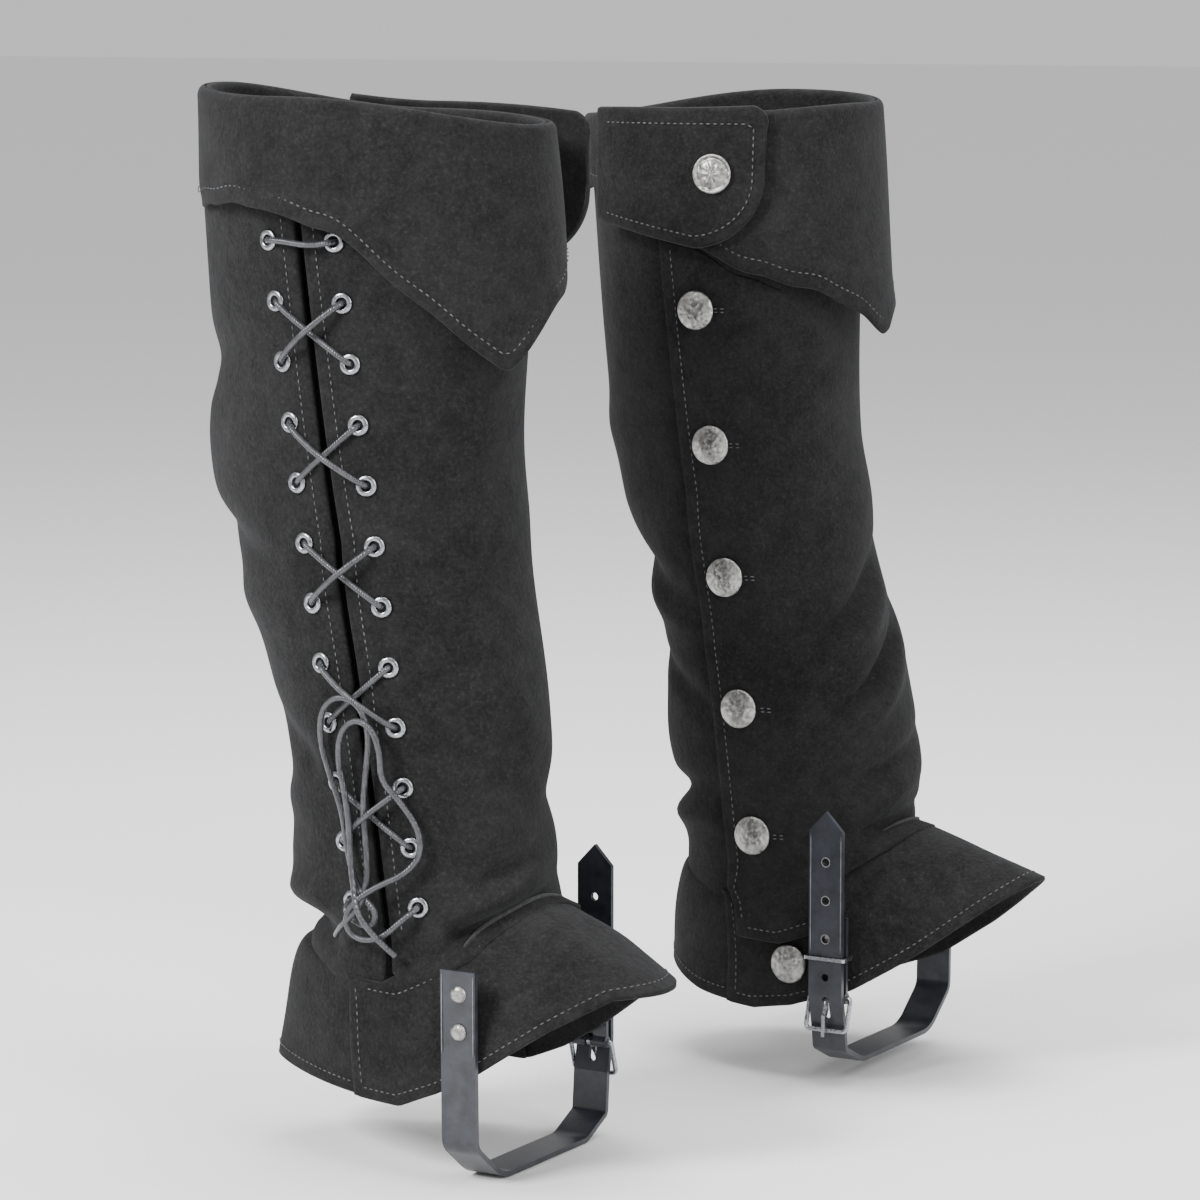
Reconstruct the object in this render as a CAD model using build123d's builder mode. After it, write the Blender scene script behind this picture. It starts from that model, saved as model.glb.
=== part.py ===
from build123d import *
import math
import os

# A pair of knee-high suede gaiters: laced inner side, buttoned outer side, buckled stirrup strap.
#
# Each gaiter is drawn for a right foot in its own frame: +X towards the toe, -Y the outer side with
# the buttons, +Y the inner side with the laces, +Z up. The left one is its mirror image.

# ---- driving dimensions, millimetres -------------------------------------------------------
RIM_Z = 505                  # top edge of the turned-down cuff
LEG_TOP_Z = 500              # top edge of the leg panels, under the rim
CALF_Z = 300
SHIN_Z = 220
ANKLE_Z = 110
INSTEP_Z = 98                # where the foot skirt has spread to its full length
HEM_Z = 36                   # lowest edge of the foot skirt
SUEDE = 2.5                  # thickness of one suede panel
GAP = 0.4                    # clearance between layers that move on each other

# A section is (height, centre in X, half length along X, half width along Y).
LEG = [(LEG_TOP_Z, -36, 77, 60), (CALF_Z, -24, 70, 56), (SHIN_Z, -7, 66, 53), (ANKLE_Z, 7, 63, 50)]
FOOT = [(ANKLE_Z - GAP, 7, 63, 50), (INSTEP_Z, 33, 107, 57.5), (HEM_Z, 33, 107, 57.5)]
CUFF_TOP = (RIM_Z, -34, 86, 68)
CUFF_LOW = (380, -27, 89, 70)
CUFF_EDGE_INNER = [(-130, 455), (-42, 458), (-8, 448), (22, 418), (48, 384), (130, 402)]
CUFF_EDGE_OUTER = [(-130, 455), (-60, 455), (-30, 432), (10, 413), (35, 398), (48, 384), (130, 402)]
HEEL_SPLIT_X = 12            # seam between the heel counter and the vamp

SPREAD = 133                 # each gaiter's distance from the middle of the pair, along Y
STAGGER = 29                 # and along X

SLIT = ((-37, LEG_TOP_Z), (11, ANKLE_Z))          # line of the laced slit, as (x, z)
SLIT_WIDTH = 5
PLACKET_EDGE = ((-52, LEG_TOP_Z), (-8, ANKLE_Z))
HINGE_LINE = ((4, LEG_TOP_Z), (26, ANKLE_Z))    # where the placket flap folds
UNDERLAP_END = 14                                # the underlap ends this far behind the fold
FLAP_TOP_Z = 409
FLAP_LOW_Z = 112

ROWS = 12
ROW_TOP_Z = 441
ROW_PITCH = 28.4
LACE_COLUMN = 18             # eyelet column to the middle of the slit
EYELET_FLANGE = 5.2
EYELET_BARREL = 3.2
EYELET_BORE = 2.4
LACE_D = 3.0
LACE_OUT = 3.4               # height of the lace's middle over the suede outside
LACE_IN = 5.2                # and under it, inside
LACE_HUMP = 7.4              # height of the upper lace where two cross

BUTTON_Z = [395, 326, 258, 190, 124]
BUTTON_INSET = 17            # button middle to the placket edge
LOW_BUTTON = (32, 60)        # the sixth button, on the foot skirt, as (x, z)
BUTTON_R = 10
TACK_R = 2.2

TAB_HINGE_X = -78            # the cuff tab folds here, behind the ankle line
TAB_END_X = {"left": 32, "right": 14}
TAB_TOP_Z = 503
TAB_LOW_Z = 428
TAB_CORNER = 34              # radius of the tab's lower corner
CONCHO_AT = (-9, 465)        # x, z
CONCHO_R = 10

STRAP_X = 57                 # middle of the stirrup strap along the foot
STRAP_W = 19
STRAP_T = 2.5
STRAP_IN_Y = 60.2            # middle of the strap's thickness on the inner side
TONGUE_Y = -66.1             # and of its tongue on the outer side
STRAP_TOP_Z = 104
TONGUE_TIP_Z = 143
STIRRUP_Z = {"left": 0, "right": 9}              # underside of the strap below each foot
RIVET_Z = [93, 75]
CHAPE_RIVET_Z = [84, 76]
RIVET_R = 4
RIVET_PIN_R = 1.5
RIVET_HOLE_R = 1.9
RIVET_TILT = 0.5             # room under a head, which leans with the skirt
BAR_Y = -61.2                # buckle's hinge bar
BAR_Z = 46
BAR_R = 1.2
FRONT_BAR_Y = -66.2          # buckle's lower bar, which the prong rests on
FRONT_BAR_Z = 29.5
FRAME_HALF = 11.6
CHAPE_Y = -61.2
CHAPE_TOP_Z = 88
KEEPER_Z = 67
TONGUE_HOLES_Z = [117, 97, 77, 57]
HOLE_R = 2

os.makedirs("parts", exist_ok=True)


# ---- where things lie on the leg ------------------------------------------------------------
def section(z):
    """Centre, half length and half width of the leg at a height."""
    for upper, lower in zip(LEG, LEG[1:]):
        if z >= lower[0]:
            break
    share = (z - lower[0]) / (upper[0] - lower[0])
    return [low + share * (top - low) for top, low in zip(upper[1:], lower[1:])]


def on_line(line, z):
    """X of a sloping line at a height."""
    (x1, z1), (x2, z2) = line
    return x1 + (z - z1) * (x2 - x1) / (z2 - z1)


def side_plane(x, z, side, height=0.0):
    """Plane on the leg's surface with its normal pointing away from the leg."""
    centre, half_length, half_width = section(z)
    along = (x - centre) / half_length
    y = half_width * math.sqrt(1 - along ** 2)
    normal = Vector(along / half_length, side * y / half_width ** 2, 0).normalized()
    origin = Vector(x, side * y, z) + normal * height
    return Plane(origin=origin, x_dir=Vector(0, 0, 1).cross(normal), z_dir=normal)


def foot_plane(x, z, side):
    """Plane on the upright part of the foot skirt."""
    _, centre, half_length, half_width = FOOT[-1]
    along = (x - centre) / half_length
    y = half_width * math.sqrt(1 - along ** 2)
    normal = Vector(along / half_length, side * y / half_width ** 2, 0).normalized()
    return Plane(origin=(x, side * y, z), x_dir=Vector(0, 0, 1).cross(normal), z_dir=normal)


def eyelet_x(row_z, column):
    """X of an eyelet: column is -1 behind the slit and +1 in front of it."""
    return on_line(SLIT, row_z) + column * LACE_COLUMN


def row_z(row):
    return ROW_TOP_Z - row * ROW_PITCH


# ---- shared builders -------------------------------------------------------------------------
def oval_stack(sections, grow, mode=Mode.ADD):
    """Ruled loft through oval sections, each grown by the same amount."""
    ovals = []
    for z, centre, half_length, half_width in sections:
        with BuildSketch(Plane.XY.offset(z)) as oval:
            with Locations((centre, 0)):
                Ellipse(half_length + grow, half_width + grow)
        ovals.append(oval.sketch)
    loft(ovals, ruled=True, mode=mode)


def keep_region(points, y_from, y_to):
    """Keep only what lies inside an outline in the XZ plane, between two values of Y."""
    with BuildSketch(Plane.XZ.offset(-y_to)) as region:
        with BuildLine():
            Polyline(points, close=True)
        make_face()
    extrude(region.sketch, amount=y_to - y_from, mode=Mode.INTERSECT)


def eyelet_holes(radius):
    """Cut the round holes that the eyelets sit in."""
    for row in range(ROWS):
        for column in (-1, 1):
            z = row_z(row)
            plane = side_plane(eyelet_x(z, column), z, 1, -8)
            with BuildSketch(plane) as hole:
                Circle(radius)
            extrude(hole.sketch, amount=14, mode=Mode.SUBTRACT)


def discs(planes, radius, bottom, top, mode=Mode.ADD):
    """Round discs or pins on several planes, from one height to another."""
    for plane in planes:
        with BuildSketch(plane.offset(bottom)) as disc:
            Circle(radius)
        extrude(disc.sketch, amount=top - bottom, mode=mode)


BUTTON_PLANES = [side_plane(on_line(PLACKET_EDGE, z) + BUTTON_INSET, z, -1) for z in BUTTON_Z]
LOW_BUTTON_PLANE = foot_plane(*LOW_BUTTON, -1)
STRAP_RIVET_PLANES = [foot_plane(STRAP_X, z, 1) for z in RIVET_Z]
CHAPE_RIVET_PLANES = [foot_plane(STRAP_X, z, -1) for z in CHAPE_RIVET_Z]
EYELET_PLANES = [side_plane(eyelet_x(row_z(row), column), row_z(row), 1)
                 for row in range(ROWS) for column in (-1, 1)]


# ---- suede panels ----------------------------------------------------------------------------
def build_front_panel():
    slit = SLIT_WIDTH / 2
    with BuildPart() as panel:
        oval_stack(LEG, 0)
        oval_stack(LEG, -SUEDE, Mode.SUBTRACT)
        (slit_top, top_z), (slit_low, low_z) = SLIT
        (fold_top, _), (fold_low, _) = HINGE_LINE
        with BuildSketch(Plane.XZ.offset(-100)):
            with BuildLine():
                Polyline([(-120, top_z + 5), (slit_top + slit, top_z + 5), (slit_low + slit, low_z - 5),
                          (-120, low_z - 5)], close=True)
            make_face()
        extrude(amount=100, mode=Mode.SUBTRACT)
        with BuildSketch(Plane.XZ):
            with BuildLine():
                Polyline([(-120, top_z + 5), (fold_top + GAP, top_z + 5), (fold_low + GAP, low_z - 5),
                          (-120, low_z - 5)], close=True)
            make_face()
        extrude(amount=100, mode=Mode.SUBTRACT)
        eyelet_holes(EYELET_BARREL + 0.05)
    return panel


def build_back_panel():
    slit = SLIT_WIDTH / 2
    with BuildPart() as panel:
        oval_stack(LEG, 0)
        oval_stack(LEG, -SUEDE, Mode.SUBTRACT)
        (slit_top, top_z), (slit_low, low_z) = SLIT
        (fold_top, _), (fold_low, _) = HINGE_LINE
        with BuildSketch(Plane.XZ.offset(-100)):
            with BuildLine():
                Polyline([(120, top_z + 5), (slit_top - slit, top_z + 5), (slit_low - slit, low_z - 5),
                          (120, low_z - 5)], close=True)
            make_face()
        extrude(amount=100, mode=Mode.SUBTRACT)
        with BuildSketch(Plane.XZ):
            with BuildLine():
                Polyline([(120, top_z + 5), (fold_top - UNDERLAP_END, top_z + 5),
                          (fold_low - UNDERLAP_END, low_z - 5), (120, low_z - 5)], close=True)
            make_face()
        extrude(amount=100, mode=Mode.SUBTRACT)
        eyelet_holes(EYELET_BARREL + 0.05)
        discs(BUTTON_PLANES, TACK_R + 0.05, -8, 8, Mode.SUBTRACT)
    return panel


def build_placket_flap():
    with BuildPart() as flap:
        oval_stack(LEG, GAP + SUEDE)
        oval_stack(LEG, GAP, Mode.SUBTRACT)
        keep_region([(on_line(PLACKET_EDGE, FLAP_TOP_Z), FLAP_TOP_Z),
                     (on_line(HINGE_LINE, FLAP_TOP_Z), FLAP_TOP_Z),
                     (on_line(HINGE_LINE, FLAP_LOW_Z), FLAP_LOW_Z),
                     (on_line(PLACKET_EDGE, FLAP_LOW_Z), FLAP_LOW_Z)], -100, 0)
        discs(BUTTON_PLANES, TACK_R + 0.4, -2, 8, Mode.SUBTRACT)
    return flap


def build_lace_facings():
    """Two strips sewn inside the slit's edges, which carry the eyelets."""
    half = 34
    slit = SLIT_WIDTH / 2
    with BuildPart() as facings:
        oval_stack(LEG, -SUEDE)
        oval_stack(LEG, -SUEDE - 1.5, Mode.SUBTRACT)
        (slit_top, top_z), (slit_low, low_z) = SLIT
        with BuildSketch(Plane.XZ.offset(-100)):
            with BuildLine():
                Polyline([(slit_top - half, top_z), (slit_top + half, top_z), (slit_low + half, low_z + 8),
                          (slit_low - half, low_z + 8)], close=True)
            make_face()
        extrude(amount=100, mode=Mode.INTERSECT)
        with BuildSketch(Plane.XZ.offset(-100)):
            with BuildLine():
                Polyline([(slit_top - slit, top_z + 5), (slit_top + slit, top_z + 5),
                          (slit_low + slit, low_z - 5),
                          (slit_low - slit, low_z - 5)], close=True)
            make_face()
        extrude(amount=100, mode=Mode.SUBTRACT)
        eyelet_holes(EYELET_BARREL + 0.05)
    return facings


def build_lace_tongue():
    """Gusset behind the slit, under the inside runs of the lace."""
    half = 30
    with BuildPart() as tongue:
        oval_stack(LEG, -10)
        oval_stack(LEG, -11.2, Mode.SUBTRACT)
        (slit_top, top_z), (slit_low, low_z) = SLIT
        keep_region([(slit_top - half, top_z - 2), (slit_top + half, top_z - 2),
                     (slit_low + half, low_z + 10),
                     (slit_low - half, low_z + 10)], 0, 100)
    return tongue


def hem_region(x_from, x_to):
    """Outline in XZ that leaves the foot skirt its rising front hem."""
    points = [(x_from, ANKLE_Z + 5), (x_to, ANKLE_Z + 5)]
    hem = [(170, 104), (128, 86), (90, 64), (52, 44), (25, HEM_Z + 1), (-30, HEM_Z + 1), (-120, HEM_Z + 3)]
    inner = [point for point in hem if x_from < point[0] < x_to]
    edge = sorted(hem)

    def height(x):
        for (x1, z1), (x2, z2) in zip(edge, edge[1:]):
            if x1 <= x <= x2:
                return z1 + (z2 - z1) * (x - x1) / (x2 - x1)
    return points + [(x_to, height(x_to))] + inner + [(x_from, height(x_from))]


def build_vamp():
    with BuildPart() as vamp:
        oval_stack(FOOT, 0)
        oval_stack(FOOT, -SUEDE, Mode.SUBTRACT)
        keep_region(hem_region(HEEL_SPLIT_X, 169), -100, 100)
        discs(STRAP_RIVET_PLANES, RIVET_HOLE_R, -6, 6, Mode.SUBTRACT)
        discs(CHAPE_RIVET_PLANES, RIVET_HOLE_R, -6, 6, Mode.SUBTRACT)
        discs([LOW_BUTTON_PLANE], TACK_R + 0.05, -6, 6, Mode.SUBTRACT)
    return vamp


def build_heel_counter():
    with BuildPart() as heel:
        oval_stack(FOOT, 0)
        oval_stack(FOOT, -SUEDE, Mode.SUBTRACT)
        keep_region(hem_region(-119, HEEL_SPLIT_X - 0.05), -100, 100)
    return heel


def build_cuff():
    """Turned-down cuff, longer at the front, joined to the leg panels by its rim."""
    with BuildPart() as cuff:
        oval_stack([CUFF_TOP, CUFF_LOW], 0)
        oval_stack([CUFF_TOP, CUFF_LOW], -SUEDE, Mode.SUBTRACT)
        for edge, start in ((CUFF_EDGE_INNER, -100), (CUFF_EDGE_OUTER, 0)):
            with BuildSketch(Plane.XZ.offset(start)):
                with BuildLine():
                    Polyline([(130, CUFF_LOW[0] - 5), (-130, CUFF_LOW[0] - 5)] + edge, close=True)
                make_face()
            extrude(amount=100, mode=Mode.SUBTRACT)
        oval_stack([(RIM_Z, -34, 85.6, 67.6), (LEG_TOP_Z + 0.3, -34, 85.6, 67.6)], 0)
        oval_stack([(RIM_Z + 1, -36, 74, 57.4), (LEG_TOP_Z - 1, -36, 74, 57.4)], 0, Mode.SUBTRACT)
        discs([tab_plane(*CONCHO_AT)], 1.55, -8, 8, Mode.SUBTRACT)
    return cuff


def tab_plane(x, z):
    """Plane on the cuff's outer surface."""
    share = (z - CUFF_LOW[0]) / (CUFF_TOP[0] - CUFF_LOW[0])
    centre, half_length, half_width = [low + share * (top - low)
                                       for top, low in zip(CUFF_TOP[1:], CUFF_LOW[1:])]
    along = (x - centre) / half_length
    y = -half_width * math.sqrt(1 - along ** 2)
    normal = Vector(along / half_length, y / half_width ** 2, 0).normalized()
    return Plane(origin=(x, y, z), x_dir=Vector(0, 0, 1).cross(normal), z_dir=normal)


def build_cuff_tab(end_x):
    """Rounded tab that comes round from the back of the cuff past the concho."""
    corner = (end_x, TAB_LOW_Z + TAB_CORNER)
    low = (end_x - TAB_CORNER, TAB_LOW_Z)
    with BuildPart() as tab:
        oval_stack([CUFF_TOP, CUFF_LOW], GAP + SUEDE)
        oval_stack([CUFF_TOP, CUFF_LOW], GAP, Mode.SUBTRACT)
        with BuildSketch(Plane.XZ):
            with BuildLine():
                Polyline((TAB_HINGE_X, TAB_TOP_Z), (end_x, TAB_TOP_Z), corner)
                RadiusArc(corner, low, TAB_CORNER)
                Polyline(low, (TAB_HINGE_X, TAB_LOW_Z + 12), (TAB_HINGE_X, TAB_TOP_Z))
            make_face()
        extrude(amount=100, mode=Mode.INTERSECT)
        discs([tab_plane(*CONCHO_AT)], 2.4, -2, 8, Mode.SUBTRACT)
    return tab


# ---- metal fittings --------------------------------------------------------------------------
def build_eyelets():
    with BuildPart() as eyelets:
        for plane in EYELET_PLANES:
            with BuildSketch(plane.offset(0.3)):
                Circle(EYELET_FLANGE)
                Circle(EYELET_BORE, mode=Mode.SUBTRACT)
            extrude(amount=1.0)
            with BuildSketch(plane.offset(-5.2)):
                Circle(EYELET_BARREL)
                Circle(EYELET_BORE, mode=Mode.SUBTRACT)
            extrude(amount=5.6)
    return eyelets


def build_eyelet_washers():
    with BuildPart() as washers:
        for plane in EYELET_PLANES:
            with BuildSketch(plane.offset(-5.2)):
                Circle(EYELET_FLANGE - 0.4)
                Circle(EYELET_BARREL + 0.03, mode=Mode.SUBTRACT)
            extrude(amount=0.6)
    return washers


def dome(plane, radius, base, rise):
    """Domed cap: a shallow cone frustum with a rounded top edge."""
    levels = []
    for height, share in ((0, 1), (0.6, 0.82), (1, 0.42)):
        with BuildSketch(plane.offset(base + rise * height)) as level:
            Circle(radius * share)
        levels.append(level.sketch)
    loft(levels)


def build_placket_buttons():
    with BuildPart() as caps:
        for plane in BUTTON_PLANES:
            dome(plane, BUTTON_R, GAP + SUEDE + 0.7, 4)
    return caps


def build_skirt_button():
    with BuildPart() as cap:
        dome(LOW_BUTTON_PLANE, BUTTON_R, 0.5, 4)
    return cap


def build_button_tacks():
    """Posts through the underlap with a flat head inside."""
    with BuildPart() as tacks:
        discs(BUTTON_PLANES, 5, -SUEDE - 1.8, -SUEDE - 0.6)
        discs(BUTTON_PLANES, TACK_R, -SUEDE - 0.7, GAP + SUEDE + 0.3)
        discs([LOW_BUTTON_PLANE], 5, -SUEDE - 1.8, -SUEDE - 0.6)
        discs([LOW_BUTTON_PLANE], TACK_R, -SUEDE - 0.7, 0.5)
    return tacks


def build_concho():
    with BuildPart() as concho:
        dome(tab_plane(*CONCHO_AT), CONCHO_R, GAP + SUEDE + 0.8, 3.4)
    return concho


def build_concho_post():
    plane = tab_plane(*CONCHO_AT)
    with BuildPart() as post:
        discs([plane], 4, -SUEDE - 1.6, -SUEDE - 0.6)
        discs([plane], 1.5, -SUEDE - 0.7, GAP + SUEDE + 0.4)
    return post


def build_strap_rivets():
    with BuildPart() as rivets:
        for plane in STRAP_RIVET_PLANES:
            strap_face = STRAP_IN_Y + STRAP_T / 2 - plane.origin.Y + RIVET_TILT
            dome(plane, RIVET_R, strap_face, 1.4)
            discs([plane], RIVET_PIN_R, -SUEDE - 1.4, strap_face + 0.1)
        chape_face = CHAPE_RIVET_PLANES[0].origin.Y - CHAPE_Y + 1 + RIVET_TILT
        discs(CHAPE_RIVET_PLANES, RIVET_PIN_R, -SUEDE - 1.4, chape_face + 0.1)
        discs(CHAPE_RIVET_PLANES, RIVET_R - 0.6, chape_face, chape_face + 0.9)
    return rivets


def build_rivet_burrs():
    with BuildPart() as burrs:
        for plane in STRAP_RIVET_PLANES + CHAPE_RIVET_PLANES:
            with BuildSketch(plane.offset(-SUEDE - 1.3)):
                Circle(RIVET_R - 0.5)
                Circle(1.55, mode=Mode.SUBTRACT)
            extrude(amount=0.95)
    return burrs


# ---- stirrup strap and buckle ----------------------------------------------------------------
def build_stirrup_strap(stirrup_z):
    """One strap: riveted inside, under the foot, through the buckle and up the outer side."""
    low = stirrup_z + STRAP_T / 2
    with BuildPart() as strap:
        with BuildLine(Plane.YZ.offset(STRAP_X)):
            route = FilletPolyline((STRAP_IN_Y, STRAP_TOP_Z), (STRAP_IN_Y - 1, low + 18), (36, low),
                                   (-42, low), (-60.8, low + 9), (-62.4, FRONT_BAR_Z + 1),
                                   (TONGUE_Y, BAR_Z + 1), (TONGUE_Y, TONGUE_TIP_Z),
                                   radius=[9, 24, 12, 3, 3, 8])
        with BuildSketch(Plane(origin=route @ 0, x_dir=(1, 0, 0), z_dir=route % 0)):
            Rectangle(STRAP_W, STRAP_T)
        sweep(path=route)
        strap_outline()
        for z in TONGUE_HOLES_Z:
            strap_hole(z, z)
        strap_hole(BAR_Z - 9, BAR_Z - 1)
        discs(STRAP_RIVET_PLANES, RIVET_HOLE_R, 0, 12, Mode.SUBTRACT)
    return strap


def strap_outline():
    """Point the tongue's tip and keep the full width everywhere else."""
    half = STRAP_W / 2
    shoulder = TONGUE_TIP_Z - 10
    with BuildSketch(Plane.XZ.offset(-80)) as outline:
        with BuildLine():
            Polyline([(STRAP_X - half, -5), (STRAP_X + half, -5), (STRAP_X + half, shoulder),
                      (STRAP_X, TONGUE_TIP_Z), (STRAP_X - half, shoulder)], close=True)
        make_face()
    extrude(outline.sketch, amount=160, mode=Mode.INTERSECT)


def strap_hole(z_from, z_to):
    """Round or long hole through the outer run of the strap."""
    with BuildSketch(Plane.XZ.offset(50)) as hole:
        with Locations((STRAP_X, (z_from + z_to) / 2)):
            if z_to > z_from:
                SlotOverall(z_to - z_from + 2 * HOLE_R, 2 * HOLE_R, rotation=90)
            else:
                Circle(HOLE_R)
    extrude(hole.sketch, amount=30, mode=Mode.SUBTRACT)


def build_buckle_chape():
    """Leather tab riveted to the skirt; its lower end is rolled round the hinge bar."""
    with BuildPart() as chape:
        with BuildSketch(Plane.YZ.offset(STRAP_X - STRAP_W / 2)):
            with Locations((CHAPE_Y, (CHAPE_TOP_Z + BAR_Z) / 2)):
                Rectangle(2, CHAPE_TOP_Z - BAR_Z)
            with Locations((BAR_Y, BAR_Z)):
                Circle(2.9)
                Circle(BAR_R + 0.05, mode=Mode.SUBTRACT)
        extrude(amount=STRAP_W)
        with Locations((STRAP_X, BAR_Y, BAR_Z - 0.5)):
            Box(4, 8, 9, mode=Mode.SUBTRACT)
        discs(CHAPE_RIVET_PLANES, RIVET_HOLE_R, 0, 12, Mode.SUBTRACT)
    return chape


def build_buckle_frame():
    """Wire frame: hinge bar behind the strap, lower bar in front of it."""
    right = STRAP_X + FRAME_HALF
    with BuildPart() as frame:
        with BuildLine():
            route = FilletPolyline((STRAP_X, BAR_Y, BAR_Z), (right, BAR_Y, BAR_Z),
                                   (right, FRONT_BAR_Y, FRONT_BAR_Z), (STRAP_X, FRONT_BAR_Y, FRONT_BAR_Z),
                                   radius=[1.5, 2.5])
        with BuildSketch(Plane(origin=route @ 0, z_dir=route % 0)):
            Circle(BAR_R)
        sweep(path=route)
        mirror(about=Plane.YZ.offset(STRAP_X))
    return frame


def build_buckle_prong():
    """Ring round the hinge bar and a tongue that reaches over the lower bar."""
    with BuildPart() as prong:
        with BuildSketch(Plane.YZ.offset(STRAP_X - 1)):
            with Locations((BAR_Y, BAR_Z)):
                Circle(BAR_R + 1.2)
            with BuildLine():
                Polyline([(BAR_Y - 0.6, BAR_Z - 2), (BAR_Y - 2, BAR_Z),
                          (FRONT_BAR_Y - 2.8, FRONT_BAR_Z + 8),
                          (FRONT_BAR_Y - 3.4, FRONT_BAR_Z - 3), (FRONT_BAR_Y - 1.6, FRONT_BAR_Z - 3),
                          (FRONT_BAR_Y - 1.6, FRONT_BAR_Z + 6)], close=True)
            make_face()
            with Locations((BAR_Y, BAR_Z)):
                Circle(BAR_R + 0.05, mode=Mode.SUBTRACT)
        extrude(amount=2)
    return prong


def build_strap_keeper():
    """Wire loop round the chape and the tongue."""
    outside = TONGUE_Y - STRAP_T / 2 - 0.4
    inside = CHAPE_Y + 1 + 0.4
    with BuildPart() as keeper:
        with BuildSketch(Plane.XY.offset(KEEPER_Z - 0.9)):
            with Locations((STRAP_X, (outside + inside) / 2)):
                RectangleRounded(STRAP_W + 4.4, inside - outside + 3, 1.4)
                Rectangle(STRAP_W + 1.4, inside - outside, mode=Mode.SUBTRACT)
        extrude(amount=1.8)
    return keeper


# ---- laces -----------------------------------------------------------------------------------
def on_side(x, z, height):
    """Point over the laced side: height is above the suede's outer surface."""
    return side_plane(x, z, 1, height).origin


def lace_half(first_column, on_top):
    """Points of half the lace, from its exit at the first row to the last row's exit."""
    points = []
    column = first_column
    for row in range(ROWS):
        z = row_z(row)
        x = eyelet_x(z, column)
        passes = [LACE_OUT, -LACE_IN] if row % 2 == 0 else [-LACE_IN, LACE_OUT]
        for height in passes:
            points.append(on_side(x, z, height))
        if row % 2 == 1 and row < ROWS - 1:
            if on_top[row // 2]:
                for share in (0.36, 0.64):
                    hump_z = z - share * ROW_PITCH
                    hump_x = x + share * (eyelet_x(row_z(row + 1), -column) - x)
                    points.append(on_side(hump_x, hump_z, LACE_HUMP))
            column = -column
    return points


def route_radii(points):
    """Arc radius at each corner: 0.45 of the shorter run over the tangent of half the turn."""
    radii = []
    for before, corner, after in zip(points, points[1:], points[2:]):
        run_in = corner - before
        run_out = after - corner
        turn = math.radians(run_in.get_angle(run_out))
        radii.append(0.45 * min(run_in.length, run_out.length) / math.tan(turn / 2))
    return radii


def tube(points, name):
    """Round cord along straight runs and tangent arcs."""
    radii = route_radii(points)
    with BuildPart() as cord:
        with BuildLine():
            route = FilletPolyline(*points, radius=radii)
        with BuildSketch(Plane(origin=route @ 0, z_dir=route % 0)):
            Circle(LACE_D / 2)
        sweep(path=route)
    ideal = math.pi * LACE_D ** 2 / 4 * route.length
    print(name, "length", round(route.length, 1), "tightest", round(min(radii), 2),
          "volume share", round(cord.part.volume / ideal, 4))
    return cord


LACE_BAR = [(-36, 441, 4.4), (-22, 439, 5.0)]       # hump points of the straight bar at the first row

BOW_EXIT = on_line(SLIT, row_z(ROWS - 1))
BACK_EXIT = BOW_EXIT - LACE_COLUMN
FRONT_EXIT = BOW_EXIT + LACE_COLUMN
# Bow cords: x, z and height over the suede, from the last eyelets to the knotted ends.
BOW_BACK = [(BACK_EXIT, 128.6, -5.2), (BACK_EXIT, 128.6, 3.4), (-8, 124, 6.5), (1, 119, 7.5), (9, 120, 9.5),
            (11, 127, 10.5), (5, 133, 9.8), (-2, 141, 7.2), (-7, 156, 5.6), (-9, 173, 5.4), (-16, 190, 5.4),
            (-21, 206, 5.6), (-19, 221, 6.4), (-9, 229, 7.4), (2, 225, 7.4), (6, 211, 6.4), (4, 194, 5.6),
            (2, 176, 5.6), (4, 158, 6.4), (6, 142, 8.6), (4, 129, 12.5), (-3, 121, 13.5), (-9, 116, 10),
            (-14, 112, 6.5)]
BOW_FRONT = [(FRONT_EXIT, 128.6, -5.2), (FRONT_EXIT, 128.6, 3.4), (20, 122, 6.5), (12, 114, 7.5),
             (3, 112, 9.5), (-3, 117, 12), (-2, 126, 13.8), (4, 134, 12.6), (12, 140, 9.5), (22, 145, 7),
             (29, 154, 5.6), (28, 167, 5.4), (20, 180, 6.6), (12, 190, 8.6), (12, 202, 9.2),
             (9, 214, 9.6), (1, 219, 10), (-7, 212, 9), (-9, 198, 8.4), (-5, 182, 8.6), (-3, 165, 8.8),
             (-2, 149, 9.6), (1, 136, 12), (5, 126, 15.8), (10, 118, 14), (14, 111, 9.5), (18, 106, 6.5)]


def build_lace():
    """The whole threaded lace: both halves joined by the bar across the first row."""
    back = lace_half(-1, [False] * ROWS)
    front = lace_half(1, [True] * ROWS)
    bar = [on_side(*place) for place in LACE_BAR]
    return tube(back[::-1] + bar + front, "lace")


def build_bow_cord(route, name):
    return tube([on_side(*place) for place in route], name)


# ---- place each piece for both feet ----------------------------------------------------------
def write(part, foot, name):
    """Move a right-foot piece to its gaiter, or its mirror image to the left one, and write it."""
    if foot == "left":
        placed = Pos(-STAGGER, -SPREAD, 0) * mirror(part, about=Plane.XZ)
    else:
        placed = Pos(STAGGER, SPREAD, 0) * part
    placed.label = f"{foot}_{name}"
    export_step(placed, f"parts/{foot}_{name}.step")


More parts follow.
